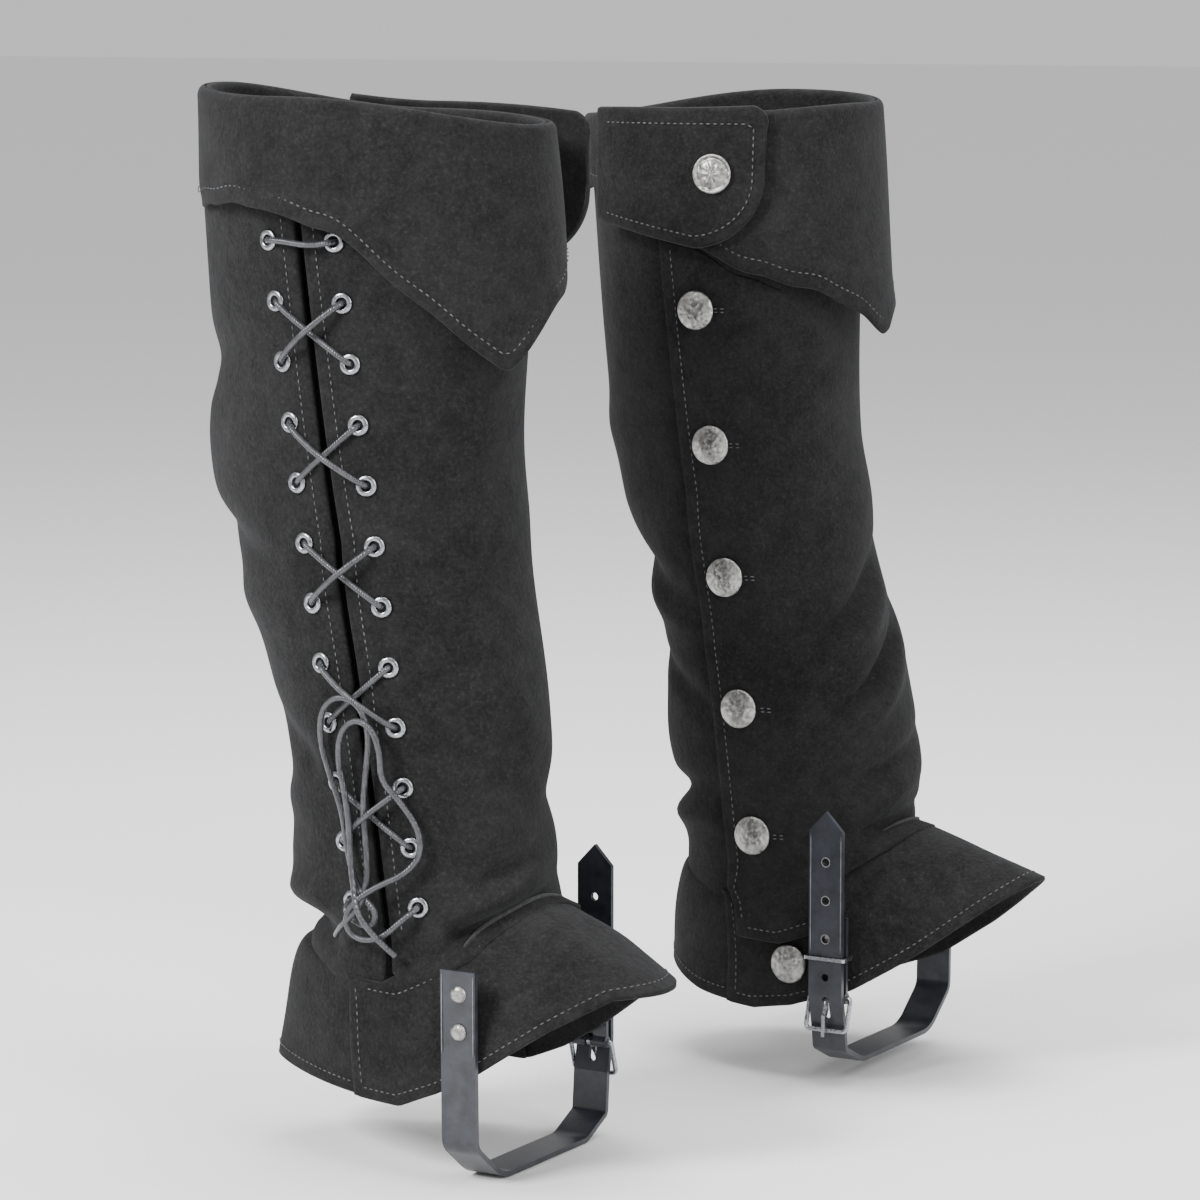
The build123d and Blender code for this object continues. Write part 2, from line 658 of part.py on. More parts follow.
BUILDERS = {
    "front_panel": build_front_panel,
    "back_panel": build_back_panel,
    "placket_flap": build_placket_flap,
    "lace_facings": build_lace_facings,
    "lace_gusset": build_lace_tongue,
    "vamp": build_vamp,
    "heel_counter": build_heel_counter,
    "cuff": build_cuff,
    "eyelets": build_eyelets,
    "eyelet_washers": build_eyelet_washers,
    "placket_buttons": build_placket_buttons,
    "skirt_button": build_skirt_button,
    "button_tacks": build_button_tacks,
    "concho": build_concho,
    "concho_post": build_concho_post,
    "rivets": build_strap_rivets,
    "rivet_burrs": build_rivet_burrs,
    "buckle_chape": build_buckle_chape,
    "buckle_frame": build_buckle_frame,
    "buckle_prong": build_buckle_prong,
    "strap_keeper": build_strap_keeper,
    "lace": build_lace,
}

for piece_name, builder in BUILDERS.items():
    piece = builder()
    for foot in ("left", "right"):
        write(piece.part, foot, piece_name)

for bow_name, bow_route in (("bow_cord_back", BOW_BACK), ("bow_cord_front", BOW_FRONT)):
    piece = build_bow_cord(bow_route, bow_name)
    for foot in ("left", "right"):
        write(piece.part, foot, bow_name)

for foot, end_x in TAB_END_X.items():
    write(build_cuff_tab(end_x).part, foot, "cuff_tab")

for foot, stirrup_z in STIRRUP_Z.items():
    write(build_stirrup_strap(stirrup_z).part, foot, "stirrup_strap")
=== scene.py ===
import math
import random

import bmesh
import bpy
import numpy as np
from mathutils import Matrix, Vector


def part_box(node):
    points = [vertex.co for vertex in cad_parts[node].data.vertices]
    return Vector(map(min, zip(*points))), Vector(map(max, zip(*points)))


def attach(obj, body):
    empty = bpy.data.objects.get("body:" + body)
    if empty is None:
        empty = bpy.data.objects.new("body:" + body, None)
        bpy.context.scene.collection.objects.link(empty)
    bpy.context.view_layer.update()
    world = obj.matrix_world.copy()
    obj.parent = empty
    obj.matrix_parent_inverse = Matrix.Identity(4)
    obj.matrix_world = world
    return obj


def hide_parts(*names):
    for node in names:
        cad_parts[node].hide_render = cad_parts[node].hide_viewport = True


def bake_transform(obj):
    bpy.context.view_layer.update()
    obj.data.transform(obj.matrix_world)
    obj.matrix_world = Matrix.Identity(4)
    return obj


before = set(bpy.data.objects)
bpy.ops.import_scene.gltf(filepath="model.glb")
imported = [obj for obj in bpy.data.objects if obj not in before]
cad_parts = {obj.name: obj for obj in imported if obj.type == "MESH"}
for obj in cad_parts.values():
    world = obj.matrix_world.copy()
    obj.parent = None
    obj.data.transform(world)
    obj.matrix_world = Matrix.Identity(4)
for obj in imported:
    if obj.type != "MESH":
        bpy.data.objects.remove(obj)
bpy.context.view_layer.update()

MM = 0.001
FEET = ("left", "right")
SPREAD = 133       # each gaiter's middle from the middle of the pair, across
STAGGER = 29       # and along


def link(name, data):
    """New object in the scene, round its data."""
    item = bpy.data.objects.new(name, data)
    bpy.context.scene.collection.objects.link(item)
    return item


# ---- camera ----
AZIMUTH = math.radians(30.34)
PITCH = math.radians(7.8)
CAMERA_AWAY = 2.2
CAMERA_RIGHT = -0.0075
CAMERA_Z = 0.555
SENSOR = 36
FOCAL_LENGTH = 132.75

right_way = Vector((math.cos(AZIMUTH), math.sin(AZIMUTH), 0))
level_way = Vector((-math.sin(AZIMUTH), math.cos(AZIMUTH), 0))
camera = link("camera", bpy.data.cameras.new("camera"))
camera.data.sensor_width = SENSOR
camera.data.lens = FOCAL_LENGTH
camera.data.clip_end = 50
camera.location = right_way * CAMERA_RIGHT - level_way * CAMERA_AWAY + Vector((0, 0, CAMERA_Z))
look = level_way * math.cos(PITCH) - Vector((0, 0, math.sin(PITCH)))
camera.rotation_mode = "QUATERNION"
camera.rotation_quaternion = look.to_track_quat("-Z", "Y")
bpy.context.scene.camera = camera

# ---- shape of the leg ----
# (height, centre in x, half length, half width)
LEG = [(500, -36, 77, 60), (300, -24, 70, 56), (220, -7, 66, 53), (110, 7, 63, 50)]
CUFF = [(505, -34, 86, 68), (380, -27, 89, 70)]
SUEDE = 2.5
GAP = 0.4
# How far the front and the back stand out from the plain section at a height.
FRONT = {"left": [(505, 10), (400, 8), (345, 3), (290, 4), (220, 2), (140, -2), (110, 0), (60, 0)],
         "right": [(505, -6), (400, -10), (330, -11), (295, -5), (262, -7), (232, 0), (198, 5), (166, 8),
                   (134, 4), (110, 0), (60, 0)]}
BACK = {"left": [(505, 6), (400, 8), (371, 9), (357, 14), (340, 17), (316, 16), (300, 10), (284, 5), (250, 5),
                 (220, 4), (184, 0), (165, 3), (140, 9), (118, 4), (60, 0)],
        "right": [(505, 3), (371, 3), (293, 0), (262, -7), (230, -7), (198, -2), (166, 3), (134, -2),
                  (118, -2), (60, 0)]}
CUFF_FRONT = {"left": 14, "right": -9}
CUFF_BACK = {"left": -4, "right": -3}
# Rim height over the plain rim: at the front, the back, the inner side and the outer side.
RIM = {"left": (-10, 8, 3, -5), "right": (-5, -12, 0, -10)}
RIM_Z = 505

SLIT = ((-37, 500), (11, 110))
PLACKET_EDGE = ((-52, 500), (-8, 110))
FOLD_LINE = ((4, 500), (26, 110))
ROWS = 12
ROW_TOP = 441
ROW_PITCH = 28.4
LACE_COLUMN = 18
LACE_D = 3.0
STRAP_X = 57
BUTTON_INSET = 17
# The ankle end of the foot skirt's plain oval: centre in x, half length and half width.
FOOT_CENTRE, FOOT_LENGTH, FOOT_WIDTH = 33, 107, 57.5

# Folds are stronger than their table says, and fade out near the eyelets and the buttons.
FOLD_STRENGTH = 1.9
FOLD_FADE = 14
EYELETS_CLEAR = 25
BUTTONS_CLEAR = 13
# The leg opens out into the cuff's rim from this height up.
FLARE_Z = 458
FLARE_HEIGHT = 40
PANEL_LIFT = 2.9


def place(foot, x, y, z):
    """Row-frame position, in metres, of a point drawn for a right foot."""
    if foot == "right":
        return Vector(((STAGGER + x) * MM, (SPREAD + y) * MM, z * MM))
    return Vector(((-STAGGER + x) * MM, (-SPREAD - y) * MM, z * MM))


def smooth(t):
    t = min(1.0, max(0.0, t))
    return t * t * (3 - 2 * t)


def along(table, z):
    """Smooth values of a short table of (height, values...) at a height."""
    if z >= table[0][0]:
        return table[0][1:]
    for i, (upper, lower) in enumerate(zip(table, table[1:])):
        if z >= lower[0]:
            break
    else:
        return table[-1][1:]
    above, below = table[max(0, i - 1)], table[min(len(table) - 1, i + 2)]
    span = upper[0] - lower[0]
    t = (upper[0] - z) / span
    values = []
    for k in range(1, len(upper)):
        slope_1 = slope_2 = lower[k] - upper[k]
        if above is not upper:
            slope_1 = (lower[k] - above[k]) / (above[0] - lower[0]) * span
        if below is not lower:
            slope_2 = (below[k] - upper[k]) / (upper[0] - below[0]) * span
        values.append((2 * t ** 3 - 3 * t ** 2 + 1) * upper[k] + (t ** 3 - 2 * t ** 2 + t) * slope_1
                      + (-2 * t ** 3 + 3 * t ** 2) * lower[k] + (t ** 3 - t ** 2) * slope_2)
    return values


def straight(table, x):
    """Value of a table of (place, value) at a place, on straight lines between its rows."""
    for (x1, v1), (x2, v2) in zip(table, table[1:]):
        if x <= x2:
            return v1 + (v2 - v1) * (x - x1) / (x2 - x1)
    return table[-1][1]


def on_line(line, z):
    (x1, z1), (x2, z2) = line
    return x1 + (z - z1) * (x2 - x1) / (z2 - z1)


def plain_angle(x, z, side):
    """Angle round the plain section where x is met on one side, +1 inner or -1 outer."""
    centre, half_length, _ = plain_section(z)
    return side * math.acos(max(-1, min(1, (x - centre) / half_length)))


def between(upper, lower, z):
    """Section at a height, on straight lines between two sections."""
    share = (z - lower[0]) / (upper[0] - lower[0])
    return [low + share * (top - low) for top, low in zip(upper[1:], lower[1:])]


def plain_section(z):
    """Section with straight sides between its heights, as the frame has it."""
    for upper, lower in zip(LEG, LEG[1:]):
        if z >= lower[0]:
            break
    return between(upper, lower, z)


def angle_beside(line, offset, z, side):
    """Angle round the plain section of a place beside a line that runs down the leg."""
    return plain_angle(on_line(line, z) + offset, z, side)


# Folds: (angle in degrees, height, half angle, half height, rise per radian, depth). A crease has a
# negative depth.
FOLDS = {
    "left": [
        (42, 117, 46, 6, -15, -5.0), (42, 131, 40, 9, -15, 3.2), (44, 103, 40, 6, -14, 2.4),
        (28, 142, 30, 5, -22, -2.4), (150, 112, 40, 6, 4, -4.2), (140, 126, 40, 9, -6, 3.4),
        (170, 117, 40, 5, 0, -4.0), (30, 196, 26, 13, 52, -2.6), (12, 222, 24, 12, 40, 1.8),
        (36, 262, 26, 14, 46, 1.5), (24, 296, 22, 12, 40, -1.6), (150, 300, 34, 10, 20, -2.4),
        (160, 268, 34, 12, 10, 1.8), (40, 336, 24, 12, 30, -1.5), (150, 385, 30, 12, -20, -1.8),
        (-90, 300, 60, 20, 10, 1.2), (-150, 210, 40, 12, 10, -2.0), (-40, 180, 40, 14, -20, -2.4),
        (20, 366, 26, 14, -30, 1.4), (170, 172, 40, 10, 0, 1.6), (130, 200, 26, 10, 30, -1.8),
        (-110, 130, 40, 7, 6, -2.6)],
    "right": [
        (-20, 244, 34, 6, 34, -3.4), (-24, 229, 32, 8, 36, 2.8), (-18, 208, 34, 6, 44, -3.8),
        (-24, 192, 32, 8, 40, 2.8), (-22, 160, 34, 6, 22, -2.8), (-20, 146, 30, 7, 18, 1.8),
        (-14, 131, 36, 5, 8, -2.6), (-36, 290, 30, 10, 24, -1.8), (-60, 318, 30, 16, 20, 1.4),
        (-150, 262, 30, 9, -24, -2.6), (-140, 240, 30, 10, -20, 2.0), (-165, 140, 44, 6, 8, -3.6),
        (-150, 127, 40, 7, 6, 2.4), (-130, 200, 30, 8, -26, -2.0), (-170, 330, 30, 14, 0, 1.4),
        (-30, 350, 26, 12, 20, 1.3), (60, 130, 50, 8, 14, -3.0), (140, 220, 40, 14, 10, 2.0),
        (100, 300, 40, 16, 10, -1.4)]}


def fold_depth(foot, angle, z):
    total = 0.0
    for where, height, half_angle, half_height, rise, depth in FOLDS[foot]:
        turn = math.remainder(angle - math.radians(where), 2 * math.pi)
        spread = turn / math.radians(half_angle)
        lift = (z - height - rise * turn) / half_height
        total += depth * math.exp(-spread * spread - lift * lift)
    return total


def leg_point(foot, angle, z, h):
    """Point on the leg at an angle round it: 0 is the shin, 90 degrees the laced side."""
    centre, half_length, half_width = along(LEG, z)
    c, s = math.cos(angle), math.sin(angle)
    out = along((FRONT if c > 0 else BACK)[foot], z)[0]
    x = centre + (half_length + h) * c + (1 if c > 0 else -1) * out * c * c
    y = (half_width + h) * s
    if s > 0:
        clear = abs(x - on_line(SLIT, z)) - EYELETS_CLEAR
    else:
        clear = abs(x - on_line(PLACKET_EDGE, z) - BUTTON_INSET) - BUTTONS_CLEAR
    fold = FOLD_STRENGTH * fold_depth(foot, angle, z) * smooth(clear / FOLD_FADE)
    point = Vector((x + fold * c, y + fold * s, z))
    flare = smooth((z - FLARE_Z) / FLARE_HEIGHT)
    if flare > 0:
        rim = cuff_radial(foot, angle, z, h - SUEDE - 1.0)
        point.x += (rim.x - point.x) * flare
        point.y += (rim.y - point.y) * flare
    return point


def panel_lift(angle):
    """How far the front panel stands off where it laps over the underlap."""
    return PANEL_LIFT * smooth((0.1 - math.sin(angle)) / 0.75)


def over_point(foot, angle, z, h):
    """Point on the leg that carries on over the foot skirt below the seam."""
    top = seam_z(angle) + 3
    if z >= top:
        return leg_point(foot, angle, z, h)
    share = (top - z) / (top - hem_point(foot, angle).z)
    return skirt_point(foot, angle, share, 3.2 + h + 1.6 * smooth(share / 0.15))


# ---- seam between the leg and the foot skirt, and the hem ----
# Heights by the cosine of the angle, from -1 at the heel to 1 at the toe.
SEAM = [(-1, 99), (-0.5, 90), (0, 88), (0.5, 104), (0.8, 117), (1, 126)]
HEM = {"left": [(-1, 41), (-0.5, 38), (-0.1, 35), (0.1, 43), (0.3, 55), (0.6, 79), (0.85, 96), (1, 99)],
       "right": [(-1, 48), (-0.6, 40), (-0.2, 35), (0, 38), (0.3, 49), (0.6, 69), (0.85, 88), (1, 98)]}
HEEL_REACH = {"left": 5, "right": -9}
TOE_RISE = {"left": -7, "right": 8}
TOE_REACH = {"left": -6, "right": 4}


def seam_z(angle):
    return straight(SEAM, math.cos(angle))


def hem_point(foot, angle):
    c, s = math.cos(angle), math.sin(angle)
    front = max(0.0, c)
    x = FOOT_CENTRE + (FOOT_LENGTH + TOE_REACH[foot] * front ** 2 + HEEL_REACH[foot] * min(0.0, c) ** 2) * c
    y = FOOT_WIDTH * s * (1 - 0.22 * front ** 3)
    z = straight(HEM[foot], c) + TOE_RISE[foot] * front ** 3
    wave = 1.6 * math.sin(5 * angle + (1 if foot == "left" else 3)) * (1 - front)
    return Vector((x, y + 0.4 * wave, z + wave * 0.7))


def skirt_point(foot, angle, s, h):
    """Point on the foot skirt: s is 0 at the ankle seam and 1 at the hem."""
    c = math.cos(angle)
    top = leg_point(foot, angle, seam_z(angle) + 3, -3.2)
    low = hem_point(foot, angle)
    front = max(0.0, c)
    ease = s ** (0.3 + 0.62 * front ** 1.5)
    x = top.x + (low.x - top.x) * ease
    y = top.y + (low.y - top.y) * ease
    z = top.z + (low.z - top.z) * s
    ripple = 1.3 * math.sin(3 * angle + 5 * s + (0 if foot == "left" else 2)) * s * (1 - front * 0.6)
    sag = 2.2 * math.exp(-((s - 0.45) / 0.22) ** 2) * front ** 2 * math.cos(6 * angle)
    out = Vector((c * 0.7, math.sin(angle), 0.25 * front))
    ripple -= 1.8 * math.exp(-((x - STRAP_X) / 18) ** 2) * smooth(s / 0.3)
    return Vector((x, y, z)) + out * (h + ripple - sag)


# ---- meshes ----
MATERIALS = {}


def add_object(name, vertices, faces, material, slot, body):
    mesh = bpy.data.meshes.new(name)
    mesh.from_pydata([tuple(v) for v in vertices], [], faces)
    mesh.update()
    work = bmesh.new()
    work.from_mesh(mesh)
    bmesh.ops.recalc_face_normals(work, faces=work.faces)
    work.to_mesh(mesh)
    work.free()
    for polygon in mesh.polygons:
        polygon.use_smooth = True
    item = link(name, mesh)
    mesh.materials.append(MATERIALS[material])
    if body:
        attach(item, body)
    return item


def grid_sheet(foot, outer, thickness, closed_u=False):
    """Vertices and faces of a suede sheet with rounded edges, from a grid of outer points."""
    grid = np.array([[tuple(p) for p in row] for row in outer], float)
    rows, columns, _ = grid.shape
    if closed_u:
        du = np.roll(grid, -1, 0) - np.roll(grid, 1, 0)
    else:
        du = np.gradient(grid, axis=0)
    dv = np.gradient(grid, axis=1)
    normal = np.cross(du, dv)
    normal /= np.maximum(np.linalg.norm(normal, axis=2, keepdims=True), 1e-9)
    middle = grid.reshape(-1, 3).mean(0)
    if ((grid - middle) * normal).sum() < 0:
        normal = -normal
    inner = grid - normal * thickness
    points = [tuple(p) for p in grid.reshape(-1, 3)] + [tuple(p) for p in inner.reshape(-1, 3)]
    count = rows * columns
    faces = []

    def at(i, j, layer):
        return layer * count + (i % rows) * columns + j

    last = rows if closed_u else rows - 1
    for i in range(last):
        for j in range(columns - 1):
            faces.append((at(i, j, 0), at(i + 1, j, 0), at(i + 1, j + 1, 0), at(i, j + 1, 0)))
            faces.append((at(i, j, 1), at(i, j + 1, 1), at(i + 1, j + 1, 1), at(i + 1, j, 1)))

    def edge(pairs, outward):
        """Close one border through a row of points that bulge a little."""
        start = len(points)
        for (i, j), push in zip(pairs, outward):
            mid = (grid[i % rows, j] + inner[i % rows, j]) / 2 + push * thickness * 0.32
            points.append(tuple(mid))
        for k in range(len(pairs) - 1):
            (i1, j1), (i2, j2) = pairs[k], pairs[k + 1]
            faces.append((at(i1, j1, 0), at(i2, j2, 0), start + k + 1, start + k))
            faces.append((start + k, start + k + 1, at(i2, j2, 1), at(i1, j1, 1)))
        return start

    def unit(v):
        return v / max(1e-9, np.linalg.norm(v))

    span_i = list(range(rows)) + ([0] if closed_u else [])
    first = edge([(i, 0) for i in span_i], [unit(-dv[i, 0]) for i in span_i])
    second = edge([(i, columns - 1) for i in span_i], [unit(dv[i, -1]) for i in span_i])
    if closed_u:
        merge = {first + rows: first, second + rows: second}
    else:
        low = edge([(0, j) for j in range(columns)], [unit(-du[0, j]) for j in range(columns)])
        high = edge([(rows - 1, j) for j in range(columns)], [unit(du[-1, j]) for j in range(columns)])
        merge = {low: first, low + columns - 1: second,
                 high: first + rows - 1, high + columns - 1: second + rows - 1}
    faces = [tuple(merge.get(v, v) for v in face) for face in faces]
    used = sorted({v for face in faces for v in face})
    renumber = {v: k for k, v in enumerate(used)}
    faces = [tuple(renumber[v] for v in face) for face in faces]
    faces = [f for f in faces if len(set(f)) > 2]
    return [place(foot, *points[v]) for v in used], faces


def suede_sheet(name, foot, outer, body, replaced, thickness=SUEDE, closed_u=False, material="suede"):
    vertices, faces = grid_sheet(foot, outer, thickness, closed_u)
    item = add_object(f"{foot}_{name}", vertices, faces, material, "suede", body)
    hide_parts(*[f"{foot}_{node}" for node in replaced])
    declare_sheet(outer + outer[:1] if closed_u else outer)


def spread(start, stop, count):
    return [start + (stop - start) * k / (count - 1) for k in range(count)]


# ---- materials ----
def socket(shader, name, value):
    if name in shader.inputs:
        shader.inputs[name].default_value = value


def new_material(name, colour, roughness, metallic=0.0, sheen=0.0):
    material = bpy.data.materials.new(name)
    material.use_nodes = True
    shader = material.node_tree.nodes["Principled BSDF"]
    shader.inputs["Base Color"].default_value = (*colour, 1)
    shader.inputs["Roughness"].default_value = roughness
    shader.inputs["Metallic"].default_value = metallic
    if sheen:
        socket(shader, "Sheen Weight", sheen)
        socket(shader, "Sheen Roughness", 0.45)
        socket(shader, "Sheen Tint", (0.75, 0.77, 0.82, 1))
    material.diffuse_color = (*colour, 1)
    MATERIALS[name] = material
    return material.node_tree, shader


def noise(tree, coordinates, scale, detail=4, roughness=0.55, distortion=0.0):
    node = tree.nodes.new("ShaderNodeTexNoise")
    node.inputs["Scale"].default_value = scale
    node.inputs["Detail"].default_value = detail
    node.inputs["Roughness"].default_value = roughness
    node.inputs["Distortion"].default_value = distortion
    tree.links.new(coordinates, node.inputs["Vector"])
    return node.outputs[0]


def ramp(tree, value, stops):
    node = tree.nodes.new("ShaderNodeValToRGB")
    ramp_stops = node.color_ramp.elements
    while len(ramp_stops) < len(stops):
        ramp_stops.new(0.5)
    for stop, (position, colour) in zip(ramp_stops, stops):
        stop.position = position
        stop.color = (*colour, 1)
    tree.links.new(value, node.inputs[0])
    return node.outputs[0]


def mix(tree, share, first, second, how="MIX"):
    node = tree.nodes.new("ShaderNodeMix")
    node.data_type = "RGBA"
    node.blend_type = how
    if isinstance(share, float):
        node.inputs[0].default_value = share
    else:
        tree.links.new(share, node.inputs[0])
    tree.links.new(first, node.inputs[6])
    tree.links.new(second, node.inputs[7])
    return node.outputs[2]


def bump(tree, shader, height, strength, distance, after=None):
    node = tree.nodes.new("ShaderNodeBump")
    node.inputs["Strength"].default_value = strength
    node.inputs["Distance"].default_value = distance
    tree.links.new(height, node.inputs["Height"])
    if after is not None:
        tree.links.new(after, node.inputs["Normal"])
    tree.links.new(node.outputs[0], shader.inputs["Normal"])
    return node.outputs[0]


def grey(value):
    """Grey with a slightly blue tint."""
    return value, value, value * 1.02


def tones(colour, dark, light):
    """Stops of a ramp from a darker to a lighter tone of a colour."""
    return [(0.3, tuple(c * dark for c in colour)), (0.7, tuple(c * light for c in colour))]


def object_coordinates(tree):
    return tree.nodes.new("ShaderNodeTexCoord").outputs["Object"]


def suede_material(name, dark, light, sheen):
    tree, shader = new_material(name, grey((dark + light) / 2), 0.92, sheen=sheen)
    coordinates = object_coordinates(tree)
    patches = ramp(tree, noise(tree, coordinates, 26, 6, 0.62, 0.5),
                   [(0.36, grey(dark)), (0.52, grey((dark + light) / 2.2)), (0.68, grey(light * 1.15))])
    scuffs = ramp(tree, noise(tree, coordinates, 95, 5, 0.7),
                  [(0.4, grey(dark * 0.6)), (0.62, grey(light * 1.6))])
    # Fine grain of the nap; its lightest specks (light * 2.6) are painted highlight glinting off the fibres.
    nap_and_highlight = ramp(tree, noise(tree, coordinates, 520, 5, 0.8),
               [(0.38, grey(dark * 0.3)), (0.56, grey(light * 0.8)), (0.72, grey(light * 2.6))])
    wide = ramp(tree, noise(tree, coordinates, 11, 3, 0.5, 0.8),
                [(0.35, grey(dark * 0.55)), (0.65, grey(light * 1.3))])
    colour = mix(tree, 0.45, patches, scuffs)
    colour = mix(tree, 0.35, colour, wide)
    colour = mix(tree, 0.44, colour, nap_and_highlight)
    tree.links.new(colour, shader.inputs["Base Color"])
    first = bump(tree, shader, noise(tree, coordinates, 700, 4, 0.75), 0.8, 0.0007)
    bump(tree, shader, noise(tree, coordinates, 55, 6, 0.62), 0.6, 0.0030, first)
    socket(shader, "Specular IOR Level", 0.15)


def metal_material(name, colour, roughness, hammered=0.0, dirt=0.5):
    tree, shader = new_material(name, colour, roughness, metallic=1.0)
    coordinates = object_coordinates(tree)
    worn = ramp(tree, noise(tree, coordinates, 420, 4, 0.6),
                [(0.3, tuple(c * dirt for c in colour)), (0.62, colour)])
    tree.links.new(worn, shader.inputs["Base Color"])
    rough = ramp(tree, noise(tree, coordinates, 700, 3, 0.6),
                 [(0.3, grey(roughness * 0.7)), (0.7, grey(min(1, roughness * 1.5)))])
    tree.links.new(rough, shader.inputs["Roughness"])
    if hammered:
        dents = tree.nodes.new("ShaderNodeTexVoronoi")
        dents.feature = "SMOOTH_F1"
        dents.inputs["Scale"].default_value = 420
        tree.links.new(coordinates, dents.inputs["Vector"])
        bump(tree, shader, dents.outputs["Distance"], hammered, 0.0012)


def strap_material(name, colour, roughness):
    tree, shader = new_material(name, colour, roughness)
    coordinates = object_coordinates(tree)
    tone = ramp(tree, noise(tree, coordinates, 130, 5, 0.6), tones(colour, 0.6, 1.5))
    tree.links.new(tone, shader.inputs["Base Color"])
    bump(tree, shader, noise(tree, coordinates, 800, 4, 0.6), 0.25, 0.0004)


def cord_material(name, colour):
    tree, shader = new_material(name, colour, 0.27)
    coordinates = object_coordinates(tree)
    braid = tree.nodes.new("ShaderNodeTexWave")
    braid.inputs["Scale"].default_value = 300
    braid.inputs["Distortion"].default_value = 2.0
    braid.inputs["Detail"].default_value = 2
    tree.links.new(coordinates, braid.inputs["Vector"])
    tone = ramp(tree, noise(tree, coordinates, 260, 4, 0.6), tones(colour, 0.55, 1.35))
    tree.links.new(tone, shader.inputs["Base Color"])
    bump(tree, shader, braid.outputs[1], 0.35, 0.0004)
    socket(shader, "Specular IOR Level", 0.6)


suede_material("suede", 0.0036, 0.0175, 0.06)
suede_material("suede_dark", 0.003, 0.009, 0.04)
# Lighter suede with more sheen, for the vamp's welt: painted highlight along the raised bead.
suede_material("suede_worn", 0.016, 0.05, 0.2)
metal_material("gunmetal", (0.34, 0.35, 0.37), 0.24, dirt=0.5)
metal_material("pewter", (0.40, 0.395, 0.38), 0.40, hammered=0.5, dirt=0.45)
metal_material("buckle_steel", (0.40, 0.41, 0.44), 0.27, dirt=0.6)
strap_material("strap_leather", (0.020, 0.022, 0.028), 0.34)
strap_material("strap_edge", (0.13, 0.13, 0.135), 0.6)
cord_material("waxed_cord", (0.040, 0.041, 0.046))
strap_material("thread", (0.062, 0.063, 0.068), 0.7)

NODE_MATERIALS = {
    "front_panel": "suede", "back_panel": "suede", "placket_flap": "suede", "lace_facings": "suede",
    "lace_gusset": "suede_dark", "vamp": "suede", "heel_counter": "suede", "cuff": "suede",
    "cuff_tab": "suede", "eyelets": "gunmetal", "eyelet_washers": "gunmetal",
    "placket_buttons": "pewter", "skirt_button": "pewter", "button_tacks": "gunmetal",
    "concho": "pewter", "concho_post": "gunmetal", "rivets": "pewter", "rivet_burrs": "gunmetal",
    "buckle_chape": "strap_leather", "buckle_frame": "buckle_steel", "buckle_prong": "buckle_steel",
    "strap_keeper": "buckle_steel", "lace": "waxed_cord", "bow_cord_back": "waxed_cord",
    "bow_cord_front": "waxed_cord", "stirrup_strap": "strap_leather"}
for foot in FEET:
    for node_name, look_name in NODE_MATERIALS.items():
        item = bpy.data.objects[f"{foot}_{node_name}"]
        item.data.materials.clear()
        item.data.materials.append(MATERIALS[look_name])


# ---- leg panels ----
LEG_PANEL_TOP = 488
LEVEL_Z = 396             # below this height the front sheet's rows no longer follow its top edge
FLAP_DROP = 17            # the flap's foot hangs this far below the seam
FLAP_UNDER_CUFF = {"left": 7, "right": 3}
FOLD_OFFSET = 12          # the part that stays fixed ends this far in front of the fold
TAB_HINGE_X = -78
TAB_END = {"left": 48, "right": 15}
TAB_LOW = 428
TAB_CORNER = 34
TAB_RISE = 12             # of the tab's low edge, from its rounded corner to its hinge


def front_low(angle):
    """The front panel's low edge: it drops over the skirt beside the placket's free edge."""
    beyond = (angle - angle_beside(PLACKET_EDGE, 0, 110, -1)) * 60
    return seam_z(angle) - FLAP_DROP * (1 - smooth((beyond - 34) / 16))


def tab_edge(foot, reach):
    """Height of the tab's low edge behind its corner, at a distance from its end."""
    return TAB_LOW + TAB_RISE * max(0, reach - TAB_CORNER) / (TAB_END[foot] - TAB_HINGE_X - TAB_CORNER)


def flap_top(foot, angle):
    """Top of the part of the panel that opens: it stays just under the cuff's and the tab's edges."""
    x = -33 + 77 * math.cos(angle)
    return min(cuff_edge(foot, angle), tab_edge(foot, TAB_END[foot] - x)) - FLAP_UNDER_CUFF[foot]


def panel_high(foot, angle):
    """Top of the main front sheet: the rim in front of the fold, the flap's top behind it."""
    fold_angle = angle_beside(FOLD_LINE, FOLD_OFFSET, 420, -1)
    share = smooth((angle - fold_angle) / 0.05)
    return flap_top(foot, angle) * (1 - share) + LEG_PANEL_TOP * share


def bend_at_fold(item, foot):
    """Bake the sheet's transform into its mesh; the points worked out beside the fold are not used, and the
    sheet is not bent.
    """
    (top_x, top_z), (low_x, low_z) = FOLD_LINE
    down = Vector((low_x - top_x, 0, low_z - top_z)).normalized()
    forward = Vector((-down.z, 0, down.x))
    middle = Vector((on_line(FOLD_LINE, 250), -50, 250))
    start, end = middle + forward * 9, middle - forward * 15
    tuple(place(foot, *start))
    tuple(place(foot, *end))
    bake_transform(item)


def sheet_size(grid):
    """Width, length and area of a grid of points, in millimetres."""
    points = np.array([[tuple(p) for p in row] for row in grid], float)
    across = np.linalg.norm(np.diff(points, axis=0), axis=2).sum(0).max()
    down = np.linalg.norm(np.diff(points, axis=1), axis=2).sum(1).max()
    first = np.cross(points[1:, :-1] - points[:-1, :-1], points[:-1, 1:] - points[:-1, :-1])
    second = np.cross(points[1:, :-1] - points[1:, 1:], points[:-1, 1:] - points[1:, 1:])
    area = (np.linalg.norm(first, axis=2).sum() + np.linalg.norm(second, axis=2).sum()) / 2
    return across, down, area


def declare_sheet(grid):
    """Work out the size of a sheet, as measured on its own grid; the result is not kept."""
    across, down, area = sheet_size(grid)


